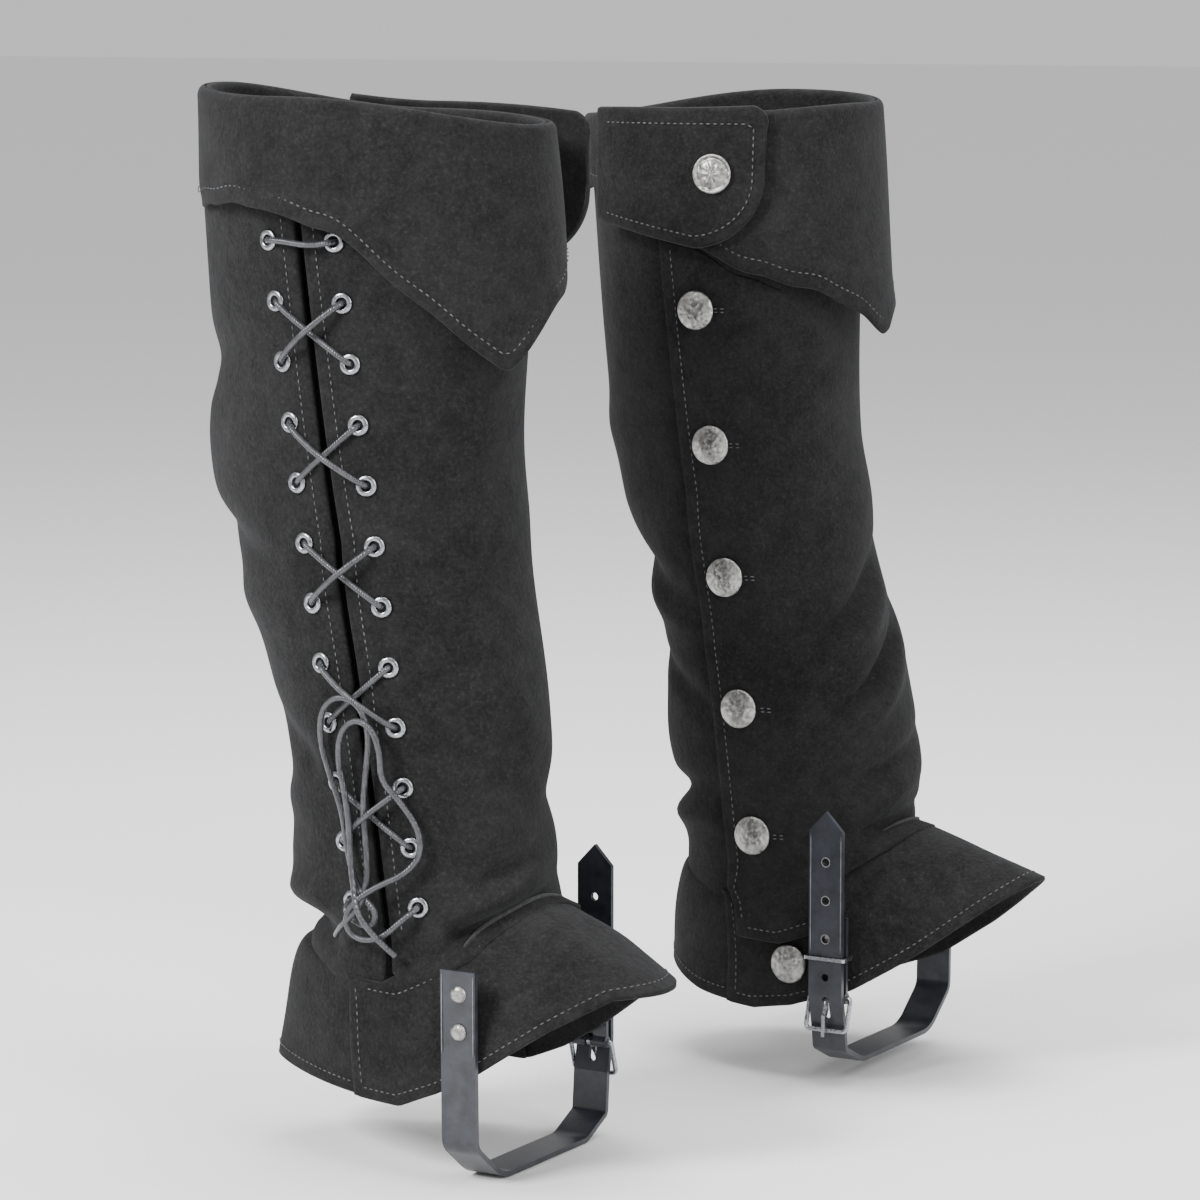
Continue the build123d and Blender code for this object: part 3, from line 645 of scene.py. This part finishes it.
def leg_sheet(rows, columns, passes, edges, height, surface):
    """Grid of a sheet between two slanting edges: angle and height depend on each other, so each is
    worked out from the other a few times."""
    grid = []
    for i in range(rows):
        row = []
        for j in range(columns):
            t = j / (columns - 1)
            z = LEG_PANEL_TOP
            for _ in range(passes):
                start, stop = edges(z)
                angle = start + (stop - start) * t
                z = height(angle, i)
            row.append(surface(angle, z))
        grid.append(row)
    return grid


def build_front_panel(foot):
    """The front sheet and the fixed part above the flap."""
    rows, level_row = 150, 34

    def edges(z):
        return angle_beside(SLIT, 2.5, z, 1), angle_beside(PLACKET_EDGE, 0, z, -1)

    def height(angle, i):
        high, low = panel_high(foot, angle), front_low(angle)
        if i < level_row:
            return high + (LEVEL_Z - high) * i / level_row
        return LEVEL_Z + (low - LEVEL_Z) * (i - level_row) / (rows - 1 - level_row)

    grid = leg_sheet(rows, 120, 6, edges, height,
                     lambda angle, z: over_point(foot, angle, z, panel_lift(angle)))
    item = add_object(f"{foot}_front_panel_suede", *grid_sheet(foot, grid, SUEDE), "suede", "suede", None)
    bend_at_fold(item, foot)
    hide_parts(f"{foot}_front_panel", f"{foot}_placket_flap")
    declare_sheet(grid)

    top_rows = 26

    def top_edges(z):
        return angle_beside(FOLD_LINE, FOLD_OFFSET, z, -1), angle_beside(PLACKET_EDGE, 0, z, -1)

    def top_height(angle, i):
        return LEG_PANEL_TOP + (flap_top(foot, angle) + 1.0 - LEG_PANEL_TOP) * i / (top_rows - 1)

    grid = leg_sheet(top_rows, 50, 4, top_edges, top_height,
                     lambda angle, z: leg_point(foot, angle, z, panel_lift(angle)))
    suede_sheet("front_panel_top", foot, grid, f"{foot}_gaiter", ["front_panel"])


def build_back_panel(foot):
    """The back sheet, with the underlap that is tucked in behind the placket."""
    rows = 140

    def edges(z):
        underlap = min(on_line(PLACKET_EDGE, z) + 38, 14)
        return angle_beside(SLIT, -2.5, z, 1), 2 * math.pi + plain_angle(underlap, z, -1)

    def height(angle, i):
        return LEG_PANEL_TOP + (seam_z(angle) - LEG_PANEL_TOP) * i / (rows - 1)

    def surface(angle, z):
        tuck = 0.7 * smooth((angle - 2 * math.pi - angle_beside(PLACKET_EDGE, -12, z, -1)) / 0.25)
        return leg_point(foot, angle, z, -tuck)

    grid = leg_sheet(rows, 110, 3, edges, height, surface)
    suede_sheet("back_panel_suede", foot, grid, f"{foot}_gaiter", ["back_panel"])


def build_inner_lacing(foot):
    """Facings under the eyelet columns and the gusset behind the slit."""
    for name, node, offsets, depth, wave, thickness, material in (
            ("facing_back", "lace_facings", spread(-31, -2.5, 10), 0.35, 0, 1.2, "suede"),
            ("facing_front", "lace_facings", spread(2.5, 31, 10), 0.35, 0, 1.2, "suede"),
            ("gusset", "lace_gusset", spread(-28, 28, 16), 5.0, 0.8, 1.0, "suede_dark")):
        grid = [[leg_point(foot, angle_beside(SLIT, x, z, 1), z,
                           -SUEDE - depth + wave * math.sin(z / 17 + x / 9)) for x in offsets]
                for z in spread(486, 118, 90)]
        suede_sheet(name, foot, grid, f"{foot}_gaiter", [node], thickness, material=material)


# ---- foot skirt ----
HEEL_SPLIT = math.acos(-0.2)


def build_skirt(foot):
    for name, node, start, stop, columns, h in (
            ("vamp_suede", "vamp", -HEEL_SPLIT - 0.16, HEEL_SPLIT + 0.16, 170, SUEDE + 0.5),
            ("heel_suede", "heel_counter", HEEL_SPLIT - 0.1, 2 * math.pi - HEEL_SPLIT + 0.1, 100, 0.0)):
        grid = [[skirt_point(foot, angle, s, h) for angle in spread(start, stop, columns)]
                for s in spread(0, 1, 60)]
        suede_sheet(name, foot, grid, f"{foot}_gaiter", [node])


# ---- cuff ----
# Height of the cuff's free edge at an angle round it, in degrees.
CUFF_EDGE = {
    "left": [(-180, 455), (-110, 455), (-90, 440), (-50, 440), (-25, 432), (0, 414), (14, 396), (25, 380),
             (38, 398), (53, 416), (64, 431), (75, 447), (98, 458), (180, 455)],
    "right": [(-180, 455), (-110, 455), (-90, 432), (-65, 417), (-48, 409), (-25, 400), (-10, 391), (1, 381),
              (12, 393), (40, 404), (60, 420), (75, 446), (98, 457), (180, 455)]}


def rim_height(foot, angle):
    front, back, inner, outer = RIM[foot]
    c, s = math.cos(angle), math.sin(angle)
    ends = (front if c > 0 else back) * c * c
    sides = (inner if s > 0 else outer) * s * s
    return RIM_Z + ends + sides


def cuff_radial(foot, angle, z, h):
    centre, half_length, half_width = between(*CUFF, z)
    share = (z - CUFF[1][0]) / (CUFF[0][0] - CUFF[1][0])
    c, s = math.cos(angle), math.sin(angle)
    out = CUFF_FRONT[foot] if c > 0 else CUFF_BACK[foot]
    bulge = 1.2 * math.sin(math.pi * max(0, min(1, share)))
    wave = 1.0 * math.sin(3 * angle + share * 4 + (0 if foot == "left" else 2))
    x = centre + (half_length + h) * c + (1 if c > 0 else -1) * out * c * c
    y = (half_width + h - 1.2) * s
    return Vector((x + (bulge + wave) * c, y + (bulge + 0.5 * wave) * s, z))


def cuff_edge(foot, angle):
    turn = math.degrees(math.remainder(angle, 2 * math.pi))
    table = CUFF_EDGE[foot]
    base = sum(straight(table, max(-180, min(180, turn + shift))) for shift in (-2.5, 0, 2.5)) / 3
    return base + 1.1 * math.sin(7 * angle) + 0.7 * math.sin(17 * angle)


RIM_ROLL = 3.2            # half the thickness of the rolled rim
RIM_RISE = 5              # from the cuff's side to the top of its roll


def cuff_profile(foot, angle):
    """Points from the cuff's pointed edge up, over the rolled rim and down the inside."""
    rim = rim_height(foot, angle)
    low = cuff_edge(foot, angle)
    points = []
    for k in range(26):
        z = low + (rim - RIM_RISE - low) * k / 25
        lift = 1.6 * math.exp(-((z - low) / 7) ** 2) * math.sin(4 * angle + 1)
        points.append(cuff_radial(foot, angle, z, lift))
    outer = cuff_radial(foot, angle, rim - RIM_RISE, 0)
    inner_leg = leg_point(foot, angle, 500, -SUEDE - 1.5)
    inward = Vector((inner_leg.x - outer.x, inner_leg.y - outer.y, 0))
    reach = inward.length
    inward.normalize()
    for k in range(1, 9):
        t = math.pi / 2 * k / 8
        rise = Vector((0, 0, RIM_RISE * math.sin(t)))
        points.append(outer + inward * (RIM_ROLL * (1 - math.cos(t))) + rise)
    top = points[-1]
    flat = max(0.4, reach - 2 * RIM_ROLL)
    for k in range(1, 5):
        points.append(top + inward * (flat * k / 4) - Vector((0, 0, 1.4 * math.sin(math.pi * k / 4))))
    corner = points[-1]
    for k in range(1, 6):
        t = math.pi / 2 * k / 5
        points.append(corner + inward * (RIM_ROLL * math.sin(t)) - Vector((0, 0, 4 * (1 - math.cos(t)))))
    end = points[-1]
    for k in range(1, 7):
        z = end.z - 5 * k
        goal = leg_point(foot, angle, z, -SUEDE - 1.5)
        points.append(Vector((goal.x, goal.y, z)).lerp(Vector((end.x, end.y, z)), max(0, 1 - k / 3)))
    return points


def build_cuff(foot):
    count = 200
    grid = [cuff_profile(foot, 2 * math.pi * i / count) for i in range(count)]
    suede_sheet("cuff_suede", foot, grid, f"{foot}_gaiter", ["cuff"], closed_u=True)


# ---- places of the fittings, on the plain section the frame is built on ----
def oval_frame(x, z, side, centre, half_length, half_width):
    """Point on one side of an oval section and its outward direction."""
    share = (x - centre) / half_length
    y = half_width * math.sqrt(max(0, 1 - share ** 2))
    normal = Vector((share / half_length, side * y / half_width ** 2, 0)).normalized()
    return Vector((x, side * y, z)), normal


def side_frame(x, z, side):
    return oval_frame(x, z, side, *plain_section(z))


def skirt_frame(x, z, side):
    return oval_frame(x, z, side, FOOT_CENTRE, FOOT_LENGTH, FOOT_WIDTH)


def cuff_frame(x, z):
    return oval_frame(x, z, -1, *between(*CUFF, z))


def basis(normal):
    """Two directions across a normal: forward along the leg, and upward."""
    up = Vector((0, 0, 1))
    across = up.cross(normal).normalized()
    return across, normal.cross(across).normalized()


def band(first, second, steps):
    """Faces between two rings of points, each given by its number."""
    faces = []
    for k in range(steps):
        n = (k + 1) % steps
        faces.append((first * steps + k, first * steps + n, second * steps + n, second * steps + k))
    return faces


def tube_faces(rings, steps):
    """Faces of a closed tube of a number of rings, with its two end caps last."""
    faces = [face for i in range(rings - 1) for face in band(i, i + 1, steps)]
    return faces + [tuple(range(steps)), tuple((rings - 1) * steps + k for k in range(steps))]


def revolve(foot, origin, normal, profile, steps=40, dents=None):
    """Turned piece from (radius, height) pairs on an origin and normal."""
    across, up = basis(normal)
    vertices = []
    for radius, height in profile:
        for k in range(steps):
            a = 2 * math.pi * k / steps
            r = max(radius, 0.01)
            extra = dents(radius, a) if dents else 0.0
            point = origin + normal * (height + extra) + (across * math.cos(a) + up * math.sin(a)) * r
            vertices.append(place(foot, *point))
    return vertices, tube_faces(len(profile), steps)


def ring(foot, origin, normal, profile, steps=32):
    """Closed turned ring, such as an eyelet, from a closed profile."""
    vertices, faces = revolve(foot, origin, normal, profile, steps)
    return vertices, faces[:-2] + band(len(profile) - 1, 0, steps)


def gather(parts):
    vertices, faces = [], []
    for more_vertices, more_faces in parts:
        start = len(vertices)
        vertices += more_vertices
        faces += [tuple(v + start for v in face) for face in more_faces]
    return vertices, faces


def fitting(name, foot, parts, look, body, node):
    item = add_object(f"{foot}_{name}", *gather(parts), look, look, body)
    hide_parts(f"{foot}_{node}")


BUTTON_Z = (395, 326, 258, 190, 124)
EYELET_ROWS = [ROW_TOP - k * ROW_PITCH for k in range(ROWS)]
# Profiles of the turned pieces, from the middle outwards or round the ring: (radius, height).
BUTTON_PROFILE = [
    (0.3, 0.2), (3.0, 0.2), (9.2, 0.3), (9.9, 0.6), (10.1, 1.1), (9.9, 1.6), (9.3, 2.1), (8.2, 2.8), (6.8, 3.5),
    (5.2, 4.05), (3.4, 4.4), (1.7, 4.6), (0.3, 4.65)]
EYELET_PROFILE = [
    (2.4, -1.5), (2.4, 0.9), (2.7, 1.35), (3.4, 1.6), (4.3, 1.45), (4.95, 1.0), (5.2, 0.4), (5.0, 0.15),
    (3.2, 0.1), (3.2, -1.5)]
CONCHO_PROFILE = [
    (0.3, 0.2), (8.8, 0.2), (9.8, 0.7), (10.1, 1.4), (9.9, 2.2), (9.2, 2.6), (8.5, 2.4), (7.9, 1.9), (7.2, 2.2),
    (6.4, 2.6), (5.4, 2.9), (4.4, 3.1), (3.4, 3.2), (2.4, 3.3), (1.4, 3.5), (0.3, 3.6)]
SKIRT_BUTTON = (32, 60)   # x and z
CONCHO = (-9, 465)


def hammer(seed):
    chance = random.Random(seed)
    marks = [(chance.uniform(0, 8.5), chance.uniform(0, 2 * math.pi), chance.uniform(1.2, 2.4))
             for _ in range(26)]

    def dents(radius, angle):
        x, y = radius * math.cos(angle), radius * math.sin(angle)
        deep = 0.0
        for r, a, size in marks:
            d = (x - r * math.cos(a)) ** 2 + (y - r * math.sin(a)) ** 2
            deep = max(deep, math.exp(-d / size ** 2))
        return -0.32 * deep if radius < 9.4 else 0.0
    return dents


def concho_relief(radius, angle):
    """Rosette of eight petals inside a raised rim."""
    if radius > 8.6:
        return 0.0
    if radius > 7.2:
        return -0.5
    petal = abs(math.cos(4 * angle))
    return -0.15 + 0.55 * petal * math.sin(math.pi * min(1, radius / 7.2)) - 0.35 * (1 - petal)


def build_fittings(foot):
    body = f"{foot}_gaiter"
    parts = []
    for z in EYELET_ROWS:
        for column in (-1, 1):
            parts.append(ring(foot, *side_frame(eyelet_x(z, column), z, 1), EYELET_PROFILE))
    fitting("eyelets_rolled", foot, parts, "gunmetal", body, "eyelets")
    parts = []
    for number, z in enumerate(BUTTON_Z):
        origin, normal = side_frame(on_line(PLACKET_EDGE, z) + BUTTON_INSET, z, -1)
        seed = number + (10 if foot == "left" else 0)
        base = origin + normal * (GAP + SUEDE + 0.5)
        parts.append(revolve(foot, base, normal, BUTTON_PROFILE, 48, hammer(seed)))
    fitting("placket_buttons_domed", foot, parts, "pewter", f"{foot}_placket", "placket_buttons")
    origin, normal = skirt_frame(*SKIRT_BUTTON, -1)
    button = revolve(foot, origin + normal * 1.6, normal, BUTTON_PROFILE, 48, hammer(7))
    fitting("skirt_button_domed", foot, [button], "pewter", body, "skirt_button")
    origin, normal = cuff_frame(*CONCHO)
    concho = revolve(foot, origin + normal * (GAP + SUEDE + 2.4), normal, CONCHO_PROFILE, 64, concho_relief)
    fitting("concho_rosette", foot, [concho], "pewter", f"{foot}_tab", "concho")


# ---- cuff tab ----
TAB_LEAVES_X = {"left": -30, "right": 60}


def tab_point(foot, x, z, h):
    """Point on the tab: it lies on the cuff, and the left one stands off straight at its end."""
    leave = min(x, TAB_LEAVES_X[foot])
    origin, normal = cuff_frame(leave, z)
    bow = 1.0 * math.sin((x + 78) / 28) if foot == "left" else 0.5 * math.sin((x + 78) / 20)
    point = origin + normal * (GAP + SUEDE + 2.0 + h + bow)
    if x > leave:
        point = point + Vector((x - leave, -(x - leave) * 0.05, 0))
    return point


def build_tab(foot):
    end = TAB_END[foot]
    grid = []
    for t in spread(0, 1, 70):
        x = end + (TAB_HINGE_X - end) * t ** 1.25
        reach = end - x
        low = tab_edge(foot, reach)
        if reach < TAB_CORNER:
            low = TAB_LOW + TAB_CORNER - math.sqrt(TAB_CORNER ** 2 - (TAB_CORNER - reach) ** 2)
        c = (x + 34) / 86
        top = rim_height(foot, -math.acos(max(-1, min(1, c)))) + 2.5
        top -= 5 * max(0, 1 - reach / 7) ** 2
        row = []
        for share in spread(0, 1, 44):
            pillow = 0.9 * (math.sin(math.pi * share) ** 0.4) * min(1, reach / 8 + 0.1)
            row.append(tab_point(foot, x, top + (low - top) * share, pillow))
        grid.append(row)
    suede_sheet("cuff_tab_suede", foot, grid, f"{foot}_tab", ["cuff_tab"], thickness=3.6)


# ---- laces ----
LACE_OUT = 3.4
LACE_IN = 5.2
LACE_HUMP = 7.4


def on_side(x, z, height):
    origin, normal = side_frame(x, z, 1)
    return origin + normal * height


def eyelet_x(z, column):
    return on_line(SLIT, z) + column * LACE_COLUMN


def lace_half(column, humps):
    points = []
    for row, z in enumerate(EYELET_ROWS):
        x = eyelet_x(z, column)
        for height in ((LACE_OUT, -LACE_IN) if row % 2 == 0 else (-LACE_IN, LACE_OUT)):
            points.append(on_side(x, z, height))
        if row % 2 == 1 and row < ROWS - 1:
            if humps:
                for share in (0.36, 0.64):
                    hump_x = x + share * (eyelet_x(z - ROW_PITCH, -column) - x)
                    points.append(on_side(hump_x, z - share * ROW_PITCH, LACE_HUMP))
            column = -column
    return points


BOW_EXIT = on_line(SLIT, EYELET_ROWS[-1])
BACK_EXIT = BOW_EXIT - LACE_COLUMN
FRONT_EXIT = BOW_EXIT + LACE_COLUMN
BOW_BACK = [(BACK_EXIT, 128.6, -5.2), (BACK_EXIT, 128.6, 3.4), (-8, 124, 6.5), (1, 119, 7.5), (9, 120, 9.5),
            (11, 127, 10.5), (5, 133, 9.8), (-2, 141, 7.2), (-7, 156, 5.6), (-9, 173, 5.4), (-16, 190, 5.4),
            (-21, 206, 5.6), (-19, 221, 6.4), (-9, 229, 7.4), (2, 225, 7.4), (6, 211, 6.4), (4, 194, 5.6),
            (2, 176, 5.6), (4, 158, 6.4), (6, 142, 8.6), (4, 129, 12.5), (-3, 121, 13.5), (-9, 116, 10),
            (-14, 112, 6.5)]
BOW_FRONT = [(FRONT_EXIT, 128.6, -5.2), (FRONT_EXIT, 128.6, 3.4), (20, 122, 6.5), (12, 114, 7.5),
             (3, 112, 9.5), (-3, 117, 12), (-2, 126, 13.8), (4, 134, 12.6), (12, 140, 9.5), (22, 145, 7),
             (29, 154, 5.6), (28, 167, 5.4), (20, 180, 6.6), (12, 190, 8.6), (12, 202, 9.2),
             (9, 214, 9.6), (1, 219, 10), (-7, 212, 9), (-9, 198, 8.4), (-5, 182, 8.6), (-3, 165, 8.8),
             (-2, 149, 9.6), (1, 136, 12), (5, 126, 15.8), (10, 118, 14), (14, 111, 9.5), (18, 106, 6.5)]


def cord_curve(name, foot, points):
    """Round cord as a curve on the given points."""
    curve = bpy.data.curves.new(name, "CURVE")
    curve.dimensions = "3D"
    curve.bevel_depth = LACE_D / 2 * MM
    curve.bevel_resolution = 5
    curve.resolution_u = 8
    curve.use_fill_caps = True
    spline = curve.splines.new("NURBS")
    spline.points.add(len(points) - 1)
    for knot, point in zip(spline.points, points):
        knot.co = (*place(foot, *point), 1)
    spline.order_u = 3
    spline.use_endpoint_u = True
    item = link(f"{foot}_{name}", curve)
    curve.materials.append(MATERIALS["waxed_cord"])
    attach(item, f"{foot}_gaiter")
    return item


def build_laces(foot):
    bar = [on_side(-36, 441, 4.4), on_side(-22, 439, 5.0)]
    held = cord_curve("lace_threaded", foot, lace_half(-1, False)[::-1] + bar + lace_half(1, True))
    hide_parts(f"{foot}_lace")
    for name, route in (("bow_cord_back", BOW_BACK), ("bow_cord_front", BOW_FRONT)):
        points = [on_side(*p) for p in route]
        item = cord_curve(f"{name}_limp", foot, points)
        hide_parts(f"{foot}_{name}")
        place(foot, *points[0])


# ---- stitching ----
STITCH_PITCH = 3.6
STITCH_LONG = 2.0
STITCH_R = 0.38


def stitches(foot, line, out_of):
    """Short threads with rounded ends along a line of surface points; out_of gives the outward way there."""
    parts = []
    travelled, due = 0.0, STITCH_PITCH / 2
    for first, second in zip(line, line[1:]):
        run = (second - first).length
        while travelled + run > due:
            share = (due - travelled) / run
            middle = first.lerp(second, share)
            along_way = (second - first).normalized()
            out = out_of(middle)
            across = out.cross(along_way).normalized()
            out = along_way.cross(across).normalized()
            vertices = []
            for step, fat in ((-0.5, 0.15), (-0.36, 0.75), (0, 1), (0.36, 0.75), (0.5, 0.15)):
                centre = middle + along_way * STITCH_LONG * step + out * (0.22 - 0.5 * step * step)
                for k in range(6):
                    a = 2 * math.pi * k / 6
                    ring_point = centre + (across * math.cos(a) + out * math.sin(a) * 0.8) * STITCH_R * fat
                    vertices.append(place(foot, *ring_point))
            parts.append((vertices, tube_faces(5, 6)))
            due += STITCH_PITCH
        travelled += run
    return parts


def away_from(x, y=0):
    def out_of(point):
        return Vector((point.x - x, point.y - y, 0)).normalized()
    return out_of


def placket_threads(foot):
    """Stitching on the placket: its edge, its foot and the ends of its buttonholes."""
    edge_line = []
    for z in spread(426, 82, 110):
        angle = angle_beside(PLACKET_EDGE, 6.5 - 3.2 * smooth((108 - z) / 22), z, -1)
        edge_line.append(over_point(foot, angle, z, panel_lift(angle) + 0.1))
    parts = stitches(foot, edge_line, away_from(-5))
    edge = angle_beside(PLACKET_EDGE, 3.3, 82, -1)
    hem_line = [over_point(foot, a, front_low(a) + 5, panel_lift(a) + 0.1)
                for a in spread(edge + 0.02, edge + 0.42, 20)]
    parts += stitches(foot, hem_line, away_from(0))
    for z in BUTTON_Z:
        for up in (-0.9, 0.9):
            line = []
            for offset in spread(26.5, 32.5, 6):
                angle = angle_beside(PLACKET_EDGE, offset, z, -1)
                line.append(over_point(foot, angle, z + up, panel_lift(angle) + 0.15))
            parts += stitches(foot, line, away_from(-5))
    return parts


def tab_threads(foot):
    """Stitching round the tab, inside its edge."""
    inset, h = 5.5, 1.1
    end = TAB_END[foot]
    corner_x, corner_z = end - TAB_CORNER, TAB_LOW + TAB_CORNER
    line = [tab_point(foot, x, 498 + RIM[foot][3] + 2, h) for x in spread(-70, end - 9, 50)]
    line += [tab_point(foot, end - inset, z, h) for z in spread(488, corner_z, 14)]
    r = TAB_CORNER - inset
    line += [tab_point(foot, corner_x + r * math.cos(a), corner_z - r * math.sin(a), h)
             for a in spread(0, math.pi / 2, 20)]
    line += [tab_point(foot, x, tab_edge(foot, end - x) + inset, h) for x in spread(corner_x - 1, -70, 40)]
    return stitches(foot, line, away_from(-34))


def fixed_threads(foot):
    """Stitching that stays: along the cuff's edge, the slit, the seams and the hems."""
    parts = []
    cuff_line = [cuff_radial(foot, a, cuff_edge(foot, a) + 7, 0.1) for a in spread(-math.pi, math.pi, 260)]
    parts += stitches(foot, cuff_line, away_from(-30))
    for offset in (-8.5, 8.5):
        line = [leg_point(foot, angle_beside(SLIT, offset, z, 1), z, 0.05) for z in spread(470, 118, 90)]
        parts += stitches(foot, line, away_from(-10))
    back_line = [leg_point(foot, math.radians(178), z, 0.1) for z in spread(450, 112, 90)]
    parts += stitches(foot, back_line, away_from(-10))
    h = SUEDE + 0.6
    seam_line = [skirt_point(foot, a, 0.07, h) for a in spread(-HEEL_SPLIT, HEEL_SPLIT, 150)]
    parts += stitches(foot, seam_line, away_from(10))
    hem_line = [skirt_point(foot, a, 0.91, h) for a in spread(-HEEL_SPLIT - 0.1, HEEL_SPLIT + 0.1, 170)]
    parts += stitches(foot, hem_line, away_from(20))
    heel_line = [skirt_point(foot, a, 0.91, 0.1)
                 for a in spread(HEEL_SPLIT + 0.2, 2 * math.pi - HEEL_SPLIT - 0.2, 80)]
    parts += stitches(foot, heel_line, away_from(20))
    for a in (-HEEL_SPLIT - 0.1, HEEL_SPLIT + 0.1):
        parts += stitches(foot, [skirt_point(foot, a, t, h) for t in spread(0.08, 0.92, 30)], away_from(20))
    return parts


def build_stitching(foot):
    for name, threads, body in (("stitching", fixed_threads, f"{foot}_gaiter"),
                                ("placket_stitching", placket_threads, None),
                                ("tab_stitching", tab_threads, f"{foot}_tab")):
        item = add_object(f"{foot}_{name}", *gather(threads(foot)), "thread", "thread", body)
        if body is None:
            bend_at_fold(item, foot)


# ---- welts and strap trim ----
def rope(foot, line, radius, out_of, steps=8):
    """Thin round bead along a line of surface points."""
    vertices = []
    last = len(line) - 1
    for i, point in enumerate(line):
        way = (line[min(last, i + 1)] - line[max(0, i - 1)]).normalized()
        across = out_of(point).cross(way).normalized()
        out = way.cross(across).normalized()
        fat = radius * (0.35 if i in (0, last) else 1.0)
        for k in range(steps):
            a = 2 * math.pi * k / steps
            vertices.append(place(foot, *(point + across * math.cos(a) * fat + out * math.sin(a) * fat)))
    return vertices, tube_faces(len(line), steps)


# Outer and inner faces of the strap's two upright runs, and half the distance between its edge lines.
STRAP_FACE = 66.1 + 1.3
STRAP_INNER_FACE = 60.2
STRAP_EDGE = 8.6
STRAP_HOLES_Z = (117, 97, 77)
HOLE_RIM_R = 2.35


def build_trim(foot):
    """A raised welt on the vamp's seam, and rims round the holes and along the edges of the strap."""
    def trim(name, parts, material, slot):
        add_object(f"{foot}_{name}", *gather(parts), material, slot, f"{foot}_gaiter")

    def outward(point):
        return Vector((0, -1, 0))

    def inward(point):
        return Vector((0, 1, 0))

    # The welt gets the lighter suede, a painted highlight along its raised bead.
    line = [skirt_point(foot, a, 0.02, SUEDE + 1.1) for a in spread(-0.95, 0.95, 110)]
    trim("vamp_welt", [rope(foot, line, 1.1, away_from(10))], "suede_worn", "suede")
    rims = []
    for z in STRAP_HOLES_Z:
        around = [Vector((STRAP_X + HOLE_RIM_R * math.cos(a), -STRAP_FACE, z + HOLE_RIM_R * math.sin(a)))
                  for a in spread(0, 2 * math.pi - 0.01, 28)]
        rims.append(rope(foot, around, 0.3, outward, 6))
    trim("strap_hole_rims", rims, "strap_edge", "strap_leather")
    lines = []
    for x in (STRAP_X - STRAP_EDGE, STRAP_X + STRAP_EDGE):
        outer = [Vector((x, -STRAP_FACE + 0.12, z)) for z in spread(70, 131, 20)]
        inner = [Vector((x, STRAP_INNER_FACE + 1.33, z)) for z in spread(64, 102, 20)]
        lines += [rope(foot, outer, 0.28, outward, 6), rope(foot, inner, 0.28, inward, 6)]
    trim("strap_edge_lines", lines, "strap_edge", "strap_leather")


for steps in ((build_front_panel, build_back_panel, build_inner_lacing, build_skirt, build_cuff),
              (build_fittings, build_tab, build_laces), (build_stitching,), (build_trim,)):
    for foot in FEET:
        for build in steps:
            build(foot)

# ---- light and floor ----
floor_mesh = bpy.data.meshes.new("floor")
floor_mesh.from_pydata([(-30, -30, 0), (30, -30, 0), (30, 30, 0), (-30, 30, 0)], [], [(0, 1, 2, 3)])
floor = link("floor", floor_mesh)
floor.location.z = min(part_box(f"{foot}_stirrup_strap")[0][2] for foot in FEET) - 0.0005
new_material("studio_floor", (0.88, 0.88, 0.88), 0.9)
floor_mesh.materials.append(MATERIALS["studio_floor"])


def area_light(name, place_at, towards, size, power):
    light = bpy.data.lights.new(name, "AREA")
    light.shape = "RECTANGLE"
    light.size, light.size_y = size
    light.energy = power
    item = link(name, light)
    item.location = place_at
    item.rotation_mode = "QUATERNION"
    item.rotation_quaternion = (Vector(towards) - Vector(place_at)).to_track_quat("-Z", "Y")


area_light("key", (-0.7, -2.1, 1.7), (0, 0, 0.25), (0.8, 0.8), 105)
area_light("right", (2.0, -0.6, 1.2), (0, 0, 0.25), (0.8, 1.6), 30)
area_light("top", (0.1, 0.4, 2.2), (0, 0, 0.2), (1.8, 1.8), 60)
world = bpy.data.worlds.new("world")
bpy.context.scene.world = world
world.use_nodes = True
world.node_tree.nodes["Background"].inputs[0].default_value = (1, 1, 1, 1)
world.node_tree.nodes["Background"].inputs[1].default_value = 0.72
